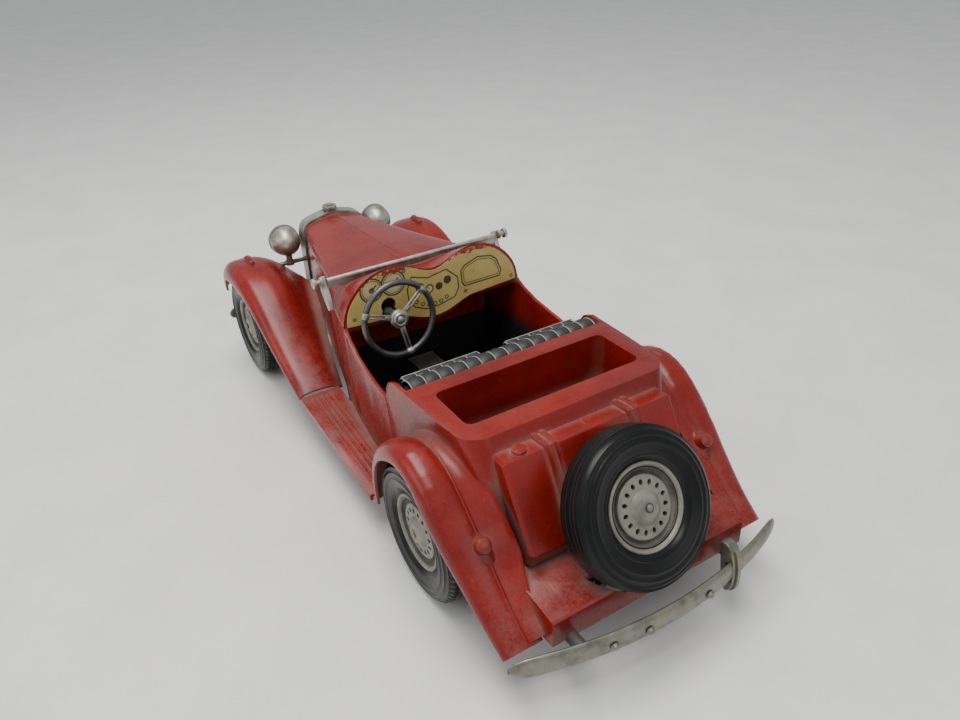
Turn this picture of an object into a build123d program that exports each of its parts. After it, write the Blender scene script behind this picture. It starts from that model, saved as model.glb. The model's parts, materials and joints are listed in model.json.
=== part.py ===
"""Toy roadster in cast and pressed metal: body shells, wings, wheels, working steering and a flywheel friction drive.

Frame: +X is the way the car faces, +Y its left side, +Z up. The origin is on the ground under the middle of the car.
Everything is in millimetres. Stations along the car are worked out from the rear axle, or from the front one.
"""

from functools import cache
from math import atan2, cos, hypot, pi, radians, sin, sqrt, tan
import os

from build123d import *

os.makedirs("parts", exist_ok=True)

# ---- driving dimensions ----
WHEELBASE = 252.5
REAR_X = -103.7
FRONT_X = REAR_X + WHEELBASE
TRACK_HALF = 66.0
TYRE_R = 35.0
TYRE_HALF_W = 8.5
RIM_R = 19.25
AXLE_R = 2.0
RUNNING = 0.05  # radial clearance of a shaft in its hole
WALL = 2.0
SILL_Z = 28.0
DECK_Z = 93.0
SHEET = 1.4  # thickness of a wing


def rear(x):
    """Place along the car, measured forward from the rear axle."""
    return REAR_X + x


def front(x):
    """Place along the car, measured forward from the front axle."""
    return FRONT_X + x


def block(x, y, z):
    """A box from its (low, high) pairs."""
    size = [b - a for a, b in (x, y, z)]
    return Pos(*[(a + b) / 2 for a, b in (x, y, z)]) * Box(*size)


def rod(radius, start, end):
    """A round bar between two points."""
    along = Vector(*end) - Vector(*start)
    place = Plane(origin=start, z_dir=along)
    return place * extrude(Circle(radius), along.length)


def side_plate(points, y_low, y_high):
    """A plate cut to an outline of (x, z) points, standing along the car between two values of y."""
    outline = make_face(Polyline(*[(x, 0, z) for x, z in points], close=True))
    return Pos(0, y_low, 0) * extrude(outline, y_high - y_low, dir=(0, 1, 0))


def cross_plate(points, x_low, x_high):
    """A plate cut to an outline of (y, z) points, standing across the car."""
    outline = make_face(Polyline(*[(0, y, z) for y, z in points], close=True))
    return Pos(x_low, 0, 0) * extrude(outline, x_high - x_low, dir=(1, 0, 0))


def mirrored(shape):
    return mirror(shape, Plane.XZ)


def both_sides(shape):
    return Compound(children=[*shape.solids(), *mirrored(shape).solids()])


def save(name, shape):
    export_step(shape, f"parts/{name}.step")


# ---- wheels: modelled with the axis along Z, outer side up, middle of the tyre at z = 0 ----
BORE_R = 16.4
BEAD_Z = 5.3
DISC_R = 13.8
SLOT_COUNT = 15
SLOT_RING_R = 10.6
HUB_TOP = 7.6


def turned(points):
    """A ring turned from an outline of (radius, z) points."""
    return revolve(make_face(Polyline(*[(r, 0, z) for r, z in points], close=True)), Axis.Z)


def tyre():
    outer = [(RIM_R + 0.15, BEAD_Z), (21.6, 7.4), (26.6, TYRE_HALF_W), (31.2, 7.9), (33.9, 6.2),
        (34.8, 3.4), (TYRE_R, 0)]
    inner = [(r, -z) for r, z in reversed(outer[:-1])]
    crown = Spline(*[(r, 0, z) for r, z in outer + inner])
    bore = Polyline(
        (inner[-1][0], 0, -BEAD_Z), (BORE_R, 0, -BEAD_Z), (BORE_R, 0, BEAD_Z), (outer[0][0], 0, BEAD_Z)
    )
    return revolve(make_face([*crown.edges(), *bore.edges()]), Axis.Z)


def wheel(bore=AXLE_R):
    body = turned(
        [
            (bore, HUB_TOP),
            (3.2, 7.55),
            (5.4, 7.0),
            (6.8, 6.0),
            (7.6, 5.3),
            (DISC_R - 0.5, 4.9),
            (DISC_R, 4.5),
            (DISC_R, 2.4),
            (DISC_R + 0.7, 2.2),
            (15.9, 3.2),
            (17.2, 5.3),
            (17.9, 6.3),
            (18.7, 6.6),
            (RIM_R, 6.2),
            (RIM_R, BEAD_Z),
            (BORE_R, BEAD_Z),
            (BORE_R, -BEAD_Z),
            (RIM_R, -BEAD_Z),
            (RIM_R, -6.4),
            (15.2, -6.4),
            (15.0, -1.0),
            (13.6, 0.6),
            (bore, 0.6),
        ]
    )
    slot = extrude(Ellipse(1.25, 0.95), 8)
    for k in range(SLOT_COUNT):
        body -= Rot(0, 0, k * 360 / SLOT_COUNT) * Pos(SLOT_RING_R, 0, -1) * slot
    return body


def on_axle(shape, x, side, z=TYRE_R):
    """Turns a wheel part's axis to +Y (side 1) or -Y (side -1) and puts it at the end of an axle."""
    return Pos(x, side * TRACK_HALF, z) * Rot(-90 * side, 0, 0) * shape


def make_wheels():
    for side, name in ((1, "left"), (-1, "right")):
        save(f"rear_tyre_{name}", on_axle(tyre(), REAR_X, side))
        save(f"rear_wheel_{name}", on_axle(wheel(), REAR_X, side))
        save(f"front_tyre_{name}", on_axle(tyre(), FRONT_X, side))
        save(f"front_wheel_{name}", on_axle(wheel(AXLE_R + RUNNING), FRONT_X, side))


# ---- body casting ----
PLAN_TOP = [(133, 51.0), (104, 56.4), (78, 59.2), (55, 60.2), (27, 59.4),
    (6, 58.6)]  # (from rear axle, half width)
PLAN_SILL = [(133, 49.0), (104, 53.0), (78, 55.4), (55, 56.0), (27, 54.0), (6, 50.5)]
CORNER_TOP, TAIL_TOP = (-12, 57.0), -24.5
CORNER_SILL, TAIL_SILL = (-36, 49.0), -50.0
CORNER_CUT = 12.0  # how far the tail's rounded corner reaches along and across
COWL_X, FIREWALL_X = 104.0, 133.0
BULKHEAD_X = 24.0
COMPARTMENT_TOP = 64.0
WELL = ((-12.5, 18.5), (-48.5, 48.5), 67.0)  # the luggage well: x from the rear axle, y, floor


def plan_face(sides, corner, tail, z, inset=0.0):
    """The body's outline seen from above at one height."""
    left = [(rear(x), y - inset) for x, y in sides] + [(rear(corner[0]), corner[1] - inset)]
    left[0] = (left[0][0] - inset, left[0][1])
    tail_x = rear(tail) + inset
    tail_y = corner[1] - inset - CORNER_CUT
    mirror_pts = [(x, -y) for x, y in left]
    side = Spline(*[(x, y, z) for x, y in left])
    other = Spline(*[(x, y, z) for x, y in reversed(mirror_pts)])
    bend = ThreePointArc(
        (*left[-1], z), (tail_x + 0.28 * (left[-1][0] - tail_x), tail_y + 0.72 * CORNER_CUT, z),
            (tail_x, tail_y, z)
    )
    back = Line((tail_x, tail_y, z), (tail_x, -tail_y, z))
    bend_other = ThreePointArc(
        (tail_x, -tail_y, z),
        (tail_x + 0.28 * (left[-1][0] - tail_x), -tail_y - 0.72 * CORNER_CUT, z),
        (*mirror_pts[-1], z),
    )
    nose = Line((*mirror_pts[0], z), (*left[0], z))
    edges = [e for part in (side, bend, back, bend_other, other, nose) for e in part.edges()]
    return make_face(edges)


@cache
def tub_solid(inset=0.0):
    low = plan_face(PLAN_SILL, CORNER_SILL, TAIL_SILL, SILL_Z, inset)
    high = plan_face(PLAN_TOP, CORNER_TOP, TAIL_TOP, DECK_Z, inset)
    return loft([low, high], ruled=True)


# Half of the two-humped dash outline, from the side to the middle: (y, z).
DASH_TOP = [(56.2, 92.0), (54.0, 101.0), (48.5, 109.5), (40.5, 116.0), (31.0, 119.4), (21.5, 119.6),
    (11.0, 115.6), (0.0, 112.6)]
BONNET_REAR = [(50.6, 84.0), (50.2, 93.0), (48.6, 100.0), (44.4, 103.6), (35.0, 104.9), (24.0, 105.4),
    (12.0, 105.8), (0.0, 106.0)]
BONNET_NOSE = [(22.0, 80.0), (21.8, 88.0), (21.2, 93.5), (19.0, 96.8), (15.0, 98.4), (10.0, 99.6),
    (5.0, 100.6), (0.0, 101.4)]


def arch_face(half, x, foot_z, foot_y=None, inset=0.0):
    """A section across the car: a curved top over straight sides, closed along its foot."""
    top = [(y - inset * min(1, y / 12), z - inset) for y, z in half]
    points = top + [(-y, z) for y, z in reversed(top[:-1])]
    foot = (foot_y if foot_y else half[0][0]) - inset
    curve = Spline(*[(x, y, z) for y, z in points])
    closing = Polyline((x, *points[-1]), (x, -foot, foot_z), (x, foot, foot_z), (x, *points[0]))
    return make_face([*curve.edges(), *closing.edges()])


COLUMN_TILT = 7.0
WHEEL_HUB = (rear(91.0), 29.0, 95.0)
COLUMN_DIR = Vector(cos(radians(COLUMN_TILT)), 0, -sin(radians(COLUMN_TILT)))


def column_point(x):
    """A point on the steering column's axis, at a given place along the car."""
    return (x, WHEEL_HUB[1], WHEEL_HUB[2] - (x - WHEEL_HUB[0]) * tan(radians(COLUMN_TILT)))


COLUMN_R = 2.9
SHAFT_R = 2.0


def body_tub():
    cowl_foot = 60.0
    outer = tub_solid()
    outer += loft(
        [
            arch_face(DASH_TOP, rear(COWL_X), cowl_foot, 54.9),
            arch_face(BONNET_REAR, rear(FIREWALL_X), cowl_foot, 50.0),
        ],
        ruled=True,
    )
    # cockpit, from the bulkhead behind the seats to the firewall
    inner = tub_solid(WALL)
    cockpit = inner & block((rear(BULKHEAD_X + 4), rear(FIREWALL_X - WALL)), (-80, 80),
        (SILL_Z - 1, DECK_Z + 1))
    under_dash = block((rear(COWL_X), rear(COWL_X + 2.6)), (-80, 80), (88.6, 200))
    outer -= cockpit - under_dash
    outer -= block((rear(BULKHEAD_X + 4), rear(FIREWALL_X - WALL)), (-50, 50), (SILL_Z - 1, SILL_Z + 1))
    outer -= loft(
        [
            arch_face(DASH_TOP, rear(COWL_X + 2.6), cowl_foot, 54.0, WALL),
            arch_face(BONNET_REAR, rear(FIREWALL_X - WALL), cowl_foot, 50.0, WALL),
        ],
        ruled=True,
    )
    # the dash's belly, hanging below its straight lower edge
    belly = Spline(
        *[(rear(COWL_X), y, z) for y, z in [(24, 89.4), (16, 86.0), (8, 82.4), (0, 81.2), (-8, 82.4),
            (-16, 86.0), (-24, 89.4)]]
    )
    top_line = Polyline((rear(COWL_X), -24, 89.4), (rear(COWL_X), -24, 92), (rear(COWL_X), 24, 92),
        (rear(COWL_X), 24, 89.4))
    outer += extrude(make_face([*belly.edges(), *top_line.edges()]), 2.6, dir=(1, 0, 0))
    # scooped door tops and the raised front corner of each rear quarter
    scoop = [
        (rear(103.9), 91.6),
        (rear(97), 87.4),
        (rear(86), 83.2),
        (rear(72), 80.4),
        (rear(58), 78.2),
        (rear(52), 77.6),
        (rear(49), 79.0),
        (rear(46.5), 86.0),
        (rear(43), 90.6),
        (rear(37), DECK_Z),
        (rear(37), 130),
        (rear(103.9), 130),
    ]
    outer -= side_plate(scoop, -80, 80)
    # rear compartment over the axle, open below
    room = inner & block((rear(-60), rear(BULKHEAD_X)), (-80, 80), (SILL_Z - 1, COMPARTMENT_TOP))
    outer -= room
    outer -= block((rear(-46), rear(BULKHEAD_X)), (-44, 44), (SILL_Z - 1, SILL_Z + 1))
    # luggage well in the deck
    (x_low, x_high), (y_low, y_high), floor = WELL
    well = block((rear(x_low), rear(x_high)), (y_low, y_high), (floor, DECK_Z + 5))
    well = fillet(well.edges().filter_by(Axis.Z), 4)
    outer -= fillet(well.faces().sort_by(Axis.Z)[0].edges(), 1.2)
    # slots for the rear axle, the hole for the steering column in the dash, and its bearing in the firewall
    outer -= rod(AXLE_R + 1.2, (REAR_X, -70, TYRE_R), (REAR_X, 70, TYRE_R))
    dash_hole = rod(4.4, column_point(rear(COWL_X - 4)), column_point(rear(COWL_X + 6)))
    outer -= dash_hole + Pos(0, 0, 4.6) * dash_hole
    outer -= rod(COLUMN_R + RUNNING, column_point(rear(FIREWALL_X - 8)), column_point(rear(FIREWALL_X + 6)))
    # shut lines of the doors
    for x in (rear(50.4), rear(101.5)):
        groove = block((x, x + 0.5), (50, 62), (36, 92))
        skin = tub_solid() - tub_solid(0.5)
        outer -= both_sides(groove & skin)
    return outer


def bonnet_solid(rear_x, nose_x, grow=0.0, feet=(34.0, 44.0)):
    """The bonnet's outside, filled; its foot rises towards the radiator."""
    low, high = feet
    ends = [arch_face(BONNET_REAR, rear_x, low, 48.6, -grow),
        arch_face(BONNET_NOSE, nose_x, high, 22.4, -grow)]
    return loft(ends, ruled=True)


def bonnet():
    gap = 0.3
    rear_x, nose_x = rear(FIREWALL_X) + gap, rear(251.5)
    outer = bonnet_solid(rear_x, nose_x)
    inner = loft(
        [arch_face(BONNET_REAR, rear_x - 1, 33, 48.6, WALL),
            arch_face(BONNET_NOSE, nose_x + 1, 43, 22.4, WALL)],
        ruled=True,
    )
    cover = outer - inner
    # the hinge line down the middle of the top
    groove = side_plate([(rear_x - 1, 105.5), (nose_x + 1, 100.9), (nose_x + 1, 110),
        (rear_x - 1, 110)], -0.3, 0.3)
    return cover - groove


# ---- radiator ----
RAD_X = rear(251.8)
RAD_HALF = [(23.6, 87.0), (23.2, 92.4), (21.2, 96.9), (17.2, 99.6), (11.4, 101.2), (5.4, 102.6),
    (0.0, 103.2)]
GRILLE_HALF = [(18.4, 84.0), (17.8, 88.2), (15.4, 91.4), (10.6, 93.4), (5.2, 94.8), (0.0, 95.4)]
RAD_FOOT = 38.0


def radiator_shell():
    depth = 10.5
    outline = arch_face(RAD_HALF, RAD_X, RAD_FOOT)
    shell = extrude(outline, depth, dir=(1, 0, 0))
    shell = chamfer(shell.faces().sort_by(Axis.X)[-1].edges(), 0.8)
    opening = arch_face(GRILLE_HALF, RAD_X - 1, RAD_FOOT + 5)
    shell -= extrude(opening, depth + 2, dir=(1, 0, 0))
    neck = rod(4.2, (RAD_X + 5.2, 0, 100.0), (RAD_X + 5.2, 0, 104.2))
    return shell + neck - extrude(opening, depth + 2, dir=(1, 0, 0))


def radiator_grille():
    outline = arch_face(GRILLE_HALF, RAD_X + 1.5, RAD_FOOT + 5.1, None, 0.1)
    back = extrude(outline, 1.2, dir=(1, 0, 0))
    clear = extrude(outline, 8, dir=(1, 0, 0))
    slats = 15
    pitch = 36.0 / slats
    for k in range(slats):
        y = (k - (slats - 1) / 2) * pitch
        back += clear & block((RAD_X + 2.4, RAD_X + 7.4), (y - 0.45, y + 0.45), (RAD_FOOT, 96))
    return back


def radiator_cap():
    x = RAD_X + 5.2
    cap = rod(5.0, (x, 0, 104.2), (x, 0, 106.2)) + rod(2.4, (x, 0, 106.2), (x, 0, 107.4))
    for k in range(8):
        turn = radians(45 * k)
        notch = (x + 5.6 * cos(turn), 5.6 * sin(turn))
        cap -= rod(1.1, (*notch, 104), (*notch, 106.5))
    return cap


# ---- wings ----
def offset_inward(points, thickness):
    """Moves each point of a section to its underside, square to the curve."""
    moved = []
    last = len(points) - 1
    for k, (y, h) in enumerate(points):
        (ya, ha), (yb, hb) = points[max(k - 1, 0)], points[min(k + 1, last)]
        length = hypot(yb - ya, hb - ha)
        moved.append((y - (hb - ha) / length * thickness, h + (yb - ya) / length * thickness))
    return moved


def in_between(values, steps):
    """Adds points between the stations so that what follows runs smoothly through them (Catmull-Rom)."""
    ends = [values[0], *values, values[-1]]
    filled = []
    for k in range(len(values) - 1):
        p0, p1, p2, p3 = ends[k : k + 4]
        for step in range(steps):
            t = step / steps
            filled.append(
                tuple(
                    0.5 * (2 * b + (c - a) * t + (2 * a - 5 * b + 4 * c - d) * t**2 + (3 * b - a - 3 * c + d) * t**3)
                    for a, b, c, d in zip(p0, p1, p2, p3)
                )
            )
    return filled + [tuple(values[-1])]


def wing_shell(path, sections, thickness=SHEET, steps=3):
    """A pressed shell: at each (x, z) of the path stands a section of (y, height over the path) points."""
    flat_rows = [tuple(v for point in section for v in point) for section in sections]
    path = in_between(path, steps)
    rows = [list(zip(row[::2], row[1::2])) for row in in_between(flat_rows, steps)]
    faces = []
    last = len(path) - 1
    for k, ((x, z), section) in enumerate(zip(path, rows)):
        (xa, za), (xb, zb) = path[max(k - 1, 0)], path[min(k + 1, last)]
        run = hypot(xb - xa, zb - za)
        up = ((zb - za) / run, -(xb - xa) / run)
        under = offset_inward(section, thickness)
        outer = Spline(*[(x + up[0] * h, y, z + up[1] * h) for y, h in section])
        inner = Spline(*[(x + up[0] * h, y, z + up[1] * h) for y, h in under])
        ends = [Line(outer @ 0, inner @ 0), Line(outer @ 1, inner @ 1)]
        faces.append(make_face([*outer.edges(), *inner.edges(), *ends[0].edges(), *ends[1].edges()]))
    return loft(faces, ruled=True)


def biggest(shape):
    return max(shape.solids(), key=lambda s: s.volume)


def radiator_block():
    return extrude(arch_face(RAD_HALF, RAD_X - 0.3, RAD_FOOT, None, -0.15), 12, dir=(1, 0, 0))


def blend_rows(first, second, share):
    return [tuple(a + (b - a) * share for a, b in zip(p, q)) for p, q in zip(first, second)]


@cache
def front_wing():
    path = [
        (front(37.5), 55.0),
        (front(32.5), 66.0),
        (front(20.0), 76.5),
        (front(2.0), 81.2),
        (front(-18.0), 79.6),
        (front(-40.0), 70.8),
        (front(-64.0), 56.6),
        (front(-88.0), 42.6),
        (front(-108.0), 34.2),
    ]
    nose = [(76.5, -9.0), (76.0, -4.6), (72.6, -0.9), (66.5, 0.4), (60.5, 0.0), (55.5, -2.0),
        (52.0, -5.0), (49.5, -9.0)]
    crown = [(79.2, -12.0), (78.6, -5.6), (74.6, -1.0), (67.0, 0.4), (58.5, 0.2), (50.5, -2.2),
        (42.0, -8.0), (30.0, -19.0)]
    shelf = [(78.8, -11.0), (78.2, -5.0), (74.4, -0.9), (67.0, 0.4), (58.5, 0.2), (50.0, -3.0),
        (40.0, -13.0), (24.0, -25.0)]
    waist = [(78.2, -9.0), (77.6, -4.4), (74.0, -0.8), (66.0, 0.6), (58.5, 0.4), (50.0, -3.4),
        (41.0, -13.0), (29.0, -21.0)]
    hollow = [(77.4, -7.0), (76.8, -3.4), (73.6, -0.5), (66.2, 0.8), (59.0, 0.6), (51.5, -1.6),
        (44.5, -7.0), (36.0, -13.5)]
    tail = [(75.8, -4.0), (75.3, -1.8), (72.6, 0.2), (66.5, 1.0), (60.5, 0.9), (55.0, 0.0),
        (50.6, -2.0), (47.4, -4.6)]
    rows = [
        nose,
        blend_rows(nose, crown, 0.35),
        blend_rows(nose, crown, 0.8),
        crown,
        shelf,
        waist,
        hollow,
        blend_rows(hollow, tail, 0.6),
        tail,
    ]
    engine = bonnet_solid(rear(FIREWALL_X) + 0.3, rear(251.5), 0.15, (10.0, 10.0)) + radiator_block()
    return biggest(wing_shell(path, rows) - engine - tub_solid(-0.1))


@cache
def rear_wing():
    path = [
        (rear(42.0), 27.0),
        (rear(40.0), 43.0),
        (rear(33.0), 61.0),
        (rear(20.0), 75.5),
        (rear(2.0), 83.6),
        (rear(-16.0), 80.4),
        (rear(-34.0), 66.0),
        (rear(-50.0), 50.0),
        (rear(-64.0), 37.0),
        (rear(-77.0), 27.5),
    ]
    foot = [(75.4, -5.0), (75.0, -2.2), (73.0, -0.4), (69.0, 0.2), (64.6, 0.2), (60.4, 0.0), (56.0, -0.6)]
    crown = [(79.2, -7.0), (78.8, -3.4), (76.4, -0.6), (71.4, 0.6), (66.2, -0.2), (61.6, -3.0),
        (57.4, -8.0)]
    hip = [(78.8, -8.0), (78.2, -4.2), (75.6, -1.0), (70.0, 0.6), (63.6, 0.0), (57.6, -6.0), (51.0, -17.0)]
    tail = [(73.4, -4.4), (72.8, -2.0), (70.4, 0.0), (66.6, 0.9), (62.4, 0.6), (58.0, -0.6), (54.2, -3.0)]
    shares = [
        foot,
        blend_rows(foot, crown, 0.3),
        blend_rows(foot, crown, 0.65),
        crown,
        crown,
        blend_rows(crown, hip, 0.6),
        hip,
        blend_rows(hip, tail, 0.4),
        blend_rows(hip, tail, 0.75),
        tail,
    ]
    return biggest(wing_shell(path, shares) - tub_solid(-0.1) - rear_apron())


def running_board():
    front_x, rear_x = front(-108.6), rear(46.0)
    front_z, rear_z = 33.0, 26.4
    board = side_plate(
        [(front_x, front_z), (rear_x, rear_z), (rear_x, rear_z - 1.6), (front_x, front_z - 1.6)], 50.8, 75.4
    )
    slope = (front_z - rear_z) / (front_x - rear_x)

    def strip(x_low, x_high, y_low, y_high, low, high):
        return side_plate(
            [
                (x_low, rear_z + (x_low - rear_x) * slope + low),
                (x_high, rear_z + (x_high - rear_x) * slope + low),
                (x_high, rear_z + (x_high - rear_x) * slope + high),
                (x_low, rear_z + (x_low - rear_x) * slope + high),
            ],
            y_low,
            y_high,
        )

    board += strip(rear_x, front_x, 74.0, 75.6, -3.6, 0.0)
    for k in range(5):
        y = 56.2 + 3.1 * k
        board += strip(rear_x + 4, front_x - 4, y, y + 1.3, -0.4, 0.7)
    return biggest(board - tub_solid(-0.1))


# ---- tail: tank, apron, straps, spare wheel ----
TANK_HALF_Y = 46.5
TANK = [(-26.5, 86.0), (-36.5, 86.4), (-56.5, 50.4), (-53.5, 42.4), (-44.5, 42.4)]
APRON_HALF_Y = 53.6


def tank_profile(grow=0.0):
    """The tank's side outline; grow moves its top and rear face outward."""
    (x0, z0), (x1, z1), (x2, z2), (x3, z3), (x4, z4) = TANK
    face = hypot(x2 - x1, z2 - z1)
    nx, nz = (z2 - z1) / face * 1.0, -(x2 - x1) / face
    return [
        (rear(x0), z0 + grow),
        (rear(x1) + nx * grow * 0.6, z1 + grow),
        (rear(x2) + nx * grow, z2 + nz * grow),
        (rear(x3) + nx * grow * 0.7, z3),
        (rear(x4), z4),
    ]


@cache
def fuel_tank():
    tank = side_plate(tank_profile(), -TANK_HALF_Y, TANK_HALF_Y)
    ends = tank.faces().filter_by(Axis.Y)
    rims = [e for e in ends.edges() if e.center().X < rear(-30)]
    tank = chamfer(rims, 1.6)
    return tank - tub_solid()


def tank_straps():
    base = side_plate(tank_profile(0.9), 19.4, 26.0)
    for y in (19.4, 23.8):
        base += side_plate(tank_profile(1.9), y, y + 2.2)
    base -= side_plate(tank_profile(), 10, 40)
    base -= tub_solid()
    keep = max(base.solids(), key=lambda s: s.volume)
    return both_sides(keep)


def tank_filler_cap():
    x, y, top = rear(-32.0), 35.6, 86.2
    return rod(3.4, (x, y, top), (x, y, top + 1.7)) + rod(2.6, (x, y, top + 1.7),
        (x, y, top + 2.1)) - fuel_tank()


@cache
def rear_apron():
    top = [
        (rear(-46.0), 42.2),
        (rear(-56.0), 42.0),
        (rear(-80.0), 39.6),
        (rear(-81.0), 38.6),
        (rear(-81.0), 25.6),
        (rear(-79.4), 25.6),
        (rear(-79.4), 38.0),
        (rear(-56.0), 40.4),
        (rear(-46.0), 40.6),
    ]
    apron = side_plate(top, -APRON_HALF_Y, APRON_HALF_Y)
    cheek = [(rear(-56.0), 41.8), (rear(-79.8), 39.4), (rear(-79.8), 25.6), (rear(-66.0), 25.6),
        (rear(-56.0), 30.0)]
    for y in (-APRON_HALF_Y, APRON_HALF_Y - 1.5):
        apron += side_plate(cheek, y, y + 1.5)
    # the spare wheel sits in a notch cut across the apron's top
    notch = on_spare(Cylinder(TYRE_R + 1.2, 2 * TYRE_HALF_W + 4))
    return biggest(apron - notch - tub_solid(-0.2))


SPARE_LEAN = 29.0
SPARE_AXIS = Vector(-cos(radians(SPARE_LEAN)), 0, sin(radians(SPARE_LEAN)))
SPARE_AT = (rear(-68.0), 0, 64.6)


def on_spare(shape):
    """Puts a wheel part on the sloping spare-wheel mount."""
    place = Plane(origin=SPARE_AT, x_dir=(0, 1, 0), z_dir=SPARE_AXIS)
    return place * shape


def spare_carrier():
    """A stud with a flange that carries the spare wheel behind the tank."""
    stud = Cylinder(AXLE_R, 26, align=(Align.CENTER, Align.CENTER, Align.MIN))
    stud = Pos(0, 0, -18) * stud
    flange = Pos(0, 0, -18) * Cylinder(9.0, 18.5, align=(Align.CENTER, Align.CENTER, Align.MIN))
    carrier = on_spare(stud + flange)
    return carrier - fuel_tank()


# ---- lamps ----
def headlamp_shells():
    radius, x, y, z = 10.6, front(3.0), 35.0, 87.5
    profile = Spline((-9.5, 0, 0), (-7.6, 0, 5.6), (-1.8, 0, 9.4), (5.0, 0, radius - 0.4))
    edge = Polyline((5.0, 0, radius - 0.4), (5.0, 0, radius), (7.2, 0, radius), (7.2, 0, 9.4),
        (5.6, 0, 9.0), (5.6, 0, 0), (-9.5, 0, 0))
    bowl = revolve(make_face([*profile.edges(), *edge.edges()]), Axis.X)
    lamp = Pos(x, y, z) * bowl
    lamp += rod(2.2, (x, y, z - 13.6), (x, y, z - 8.0))
    return both_sides(lamp)


def headlamp_lenses():
    x, y, z = front(3.0), 35.0, 87.5
    profile = Spline((9.4, 0, 0), (8.6, 0, 5.0), (6.8, 0, 8.9))
    edge = Polyline((6.8, 0, 8.9), (5.7, 0, 8.9), (5.7, 0, 0), (9.4, 0, 0))
    return both_sides(Pos(x, y, z) * revolve(make_face([*profile.edges(), *edge.edges()]), Axis.X))


LAMP_BAR_Z = 72.4


def headlamp_bar():
    """A cross bar in front of the radiator that carries both headlamps and bolts to the wings."""
    x = front(3.0)
    bar = rod(1.5, (x, -49.0, LAMP_BAR_Z), (x, 49.0, LAMP_BAR_Z))
    for y in (-35.0, 35.0):
        bar += rod(3.0, (x, y, LAMP_BAR_Z - 1.5), (x, y, LAMP_BAR_Z + 1.45))
    half = bar & block((x - 9, x + 9), (23.65, 60), (60, 90))
    return both_sides(biggest(half - front_wing()))


def bullet(radius, length, nose):
    """A lamp body with its axis along X: round nose forward, flat glass to the rear."""
    shape = Spline((0, 0, radius), (nose * 0.6, 0, radius * 0.84), (nose, 0, 0),
        tangents=[(1, 0, 0), (0, 0, -1)])
    edge = Polyline((nose, 0, 0), (-length, 0, 0), (-length, 0, radius * 0.94),
        (-length + 0.5, 0, radius), (0, 0, radius))
    return revolve(make_face([*shape.edges(), *edge.edges()]), Axis.X)


def tail_lamps():
    lamp = Pos(rear(-43.0), 63.4, 53.8) * bullet(3.9, 5.6, 6.4)
    return both_sides(biggest(lamp - rear_wing() - wing_fill()))


def wing_fill():
    """The space under the rear wing, so that a lamp is cut off flush with its skin."""
    return side_plate([(rear(-20), 60), (rear(-62), 30), (rear(0), 10), (rear(0), 60)], 50, 76)


def side_lamps():
    lamp = Pos(front(-1.0), 64.0, 82.2) * Rot(0, 180, 0) * bullet(3.0, 4.0, 8.0)
    return both_sides(biggest(lamp - front_wing() - block((front(-20), front(20)), (50, 78), (60, 80.2))))


# ---- bumpers ----
def bumper_bar(x_mid, sweep, z, bulge):
    """A bowed bar: bulge is +1 where the middle is furthest forward and -1 where it is furthest back."""
    half_y, height, depth = 75.6, 8.6, 3.0
    tip_x = x_mid - bulge * sweep
    near = ThreePointArc((tip_x, half_y, 0), (x_mid, 0, 0), (tip_x, -half_y, 0))
    far = ThreePointArc((tip_x - bulge * depth, half_y, 0), (x_mid - bulge * depth, 0, 0),
        (tip_x - bulge * depth, -half_y, 0))
    ends = [Line(near @ 0, far @ 0), Line(near @ 1, far @ 1)]
    plan = make_face([*near.edges(), *far.edges(), *ends[0].edges(), *ends[1].edges()])
    bar = Pos(0, 0, z - height / 2) * extrude(plan, height, dir=(0, 0, 1))
    show = [f for f in bar.faces() if abs(f.normal_at(f.center()).X) > 0.8 and f.normal_at(f.center()).X * bulge > 0]
    bar = fillet(show[0].edges().filter_by(lambda e: abs(e.center().Z - z) > 1), 1.9)
    outline = Plane(origin=(0, 0, z), x_dir=(0, 1, 0), z_dir=(1, 0, 0)) * SlotOverall(2 * half_y, height)
    return bar & extrude(outline, 300, both=True)


REAR_BUMPER_X, FRONT_BUMPER_X = rear(-95.5), front(48.5)
BUMPER_Z = 27.0
REAR_SWEEP, FRONT_SWEEP = 14.0, 6.0


def bumper_face(x_mid, sweep, y, bulge):
    """Where the bumper's outer face is at a given y."""
    bow_r = (75.6**2 + sweep**2) / (2 * sweep)
    return x_mid - bulge * (bow_r - sqrt(bow_r**2 - y**2))


def overrider(x_face, y, direction):
    """An upright horn clamped over the bumper; direction is +1 on the front bumper and -1 on the rear one."""
    d = direction
    outline = Spline(
        (x_face - d * 7.0, 0, BUMPER_Z + 12.6),
        (x_face - d * 2.4, 0, BUMPER_Z + 12.8),
        (x_face + d * 1.4, 0, BUMPER_Z + 6.6),
        (x_face + d * 2.6, 0, BUMPER_Z - 1.0),
        (x_face + d * 2.2, 0, BUMPER_Z - 8.0),
        (x_face - d * 0.6, 0, BUMPER_Z - 12.4),
    )
    back = Polyline(
        (x_face - d * 0.6, 0, BUMPER_Z - 12.4),
        (x_face - d * 3.6, 0, BUMPER_Z - 9.0),
        (x_face - d * 5.6, 0, BUMPER_Z + 4.6),
        (x_face - d * 7.0, 0, BUMPER_Z + 12.6),
    )
    horn = extrude(make_face([*outline.edges(), *back.edges()]), 2.6, dir=(0, 1, 0), both=True)
    rib = Pos(d * 1.1, 0, 0) * extrude(make_face([*outline.edges(), *back.edges()]), 0.9, dir=(0, 1, 0),
        both=True)
    rib &= block((x_face - 12, x_face + 12), (-3, 3), (BUMPER_Z - 12, BUMPER_Z + 11))
    horn = fillet(horn.edges().filter_by(lambda e: e.length > 20), 0.7)
    return Pos(0, y, 0) * (horn + rib)


OVERRIDER_Y = 37.0


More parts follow.
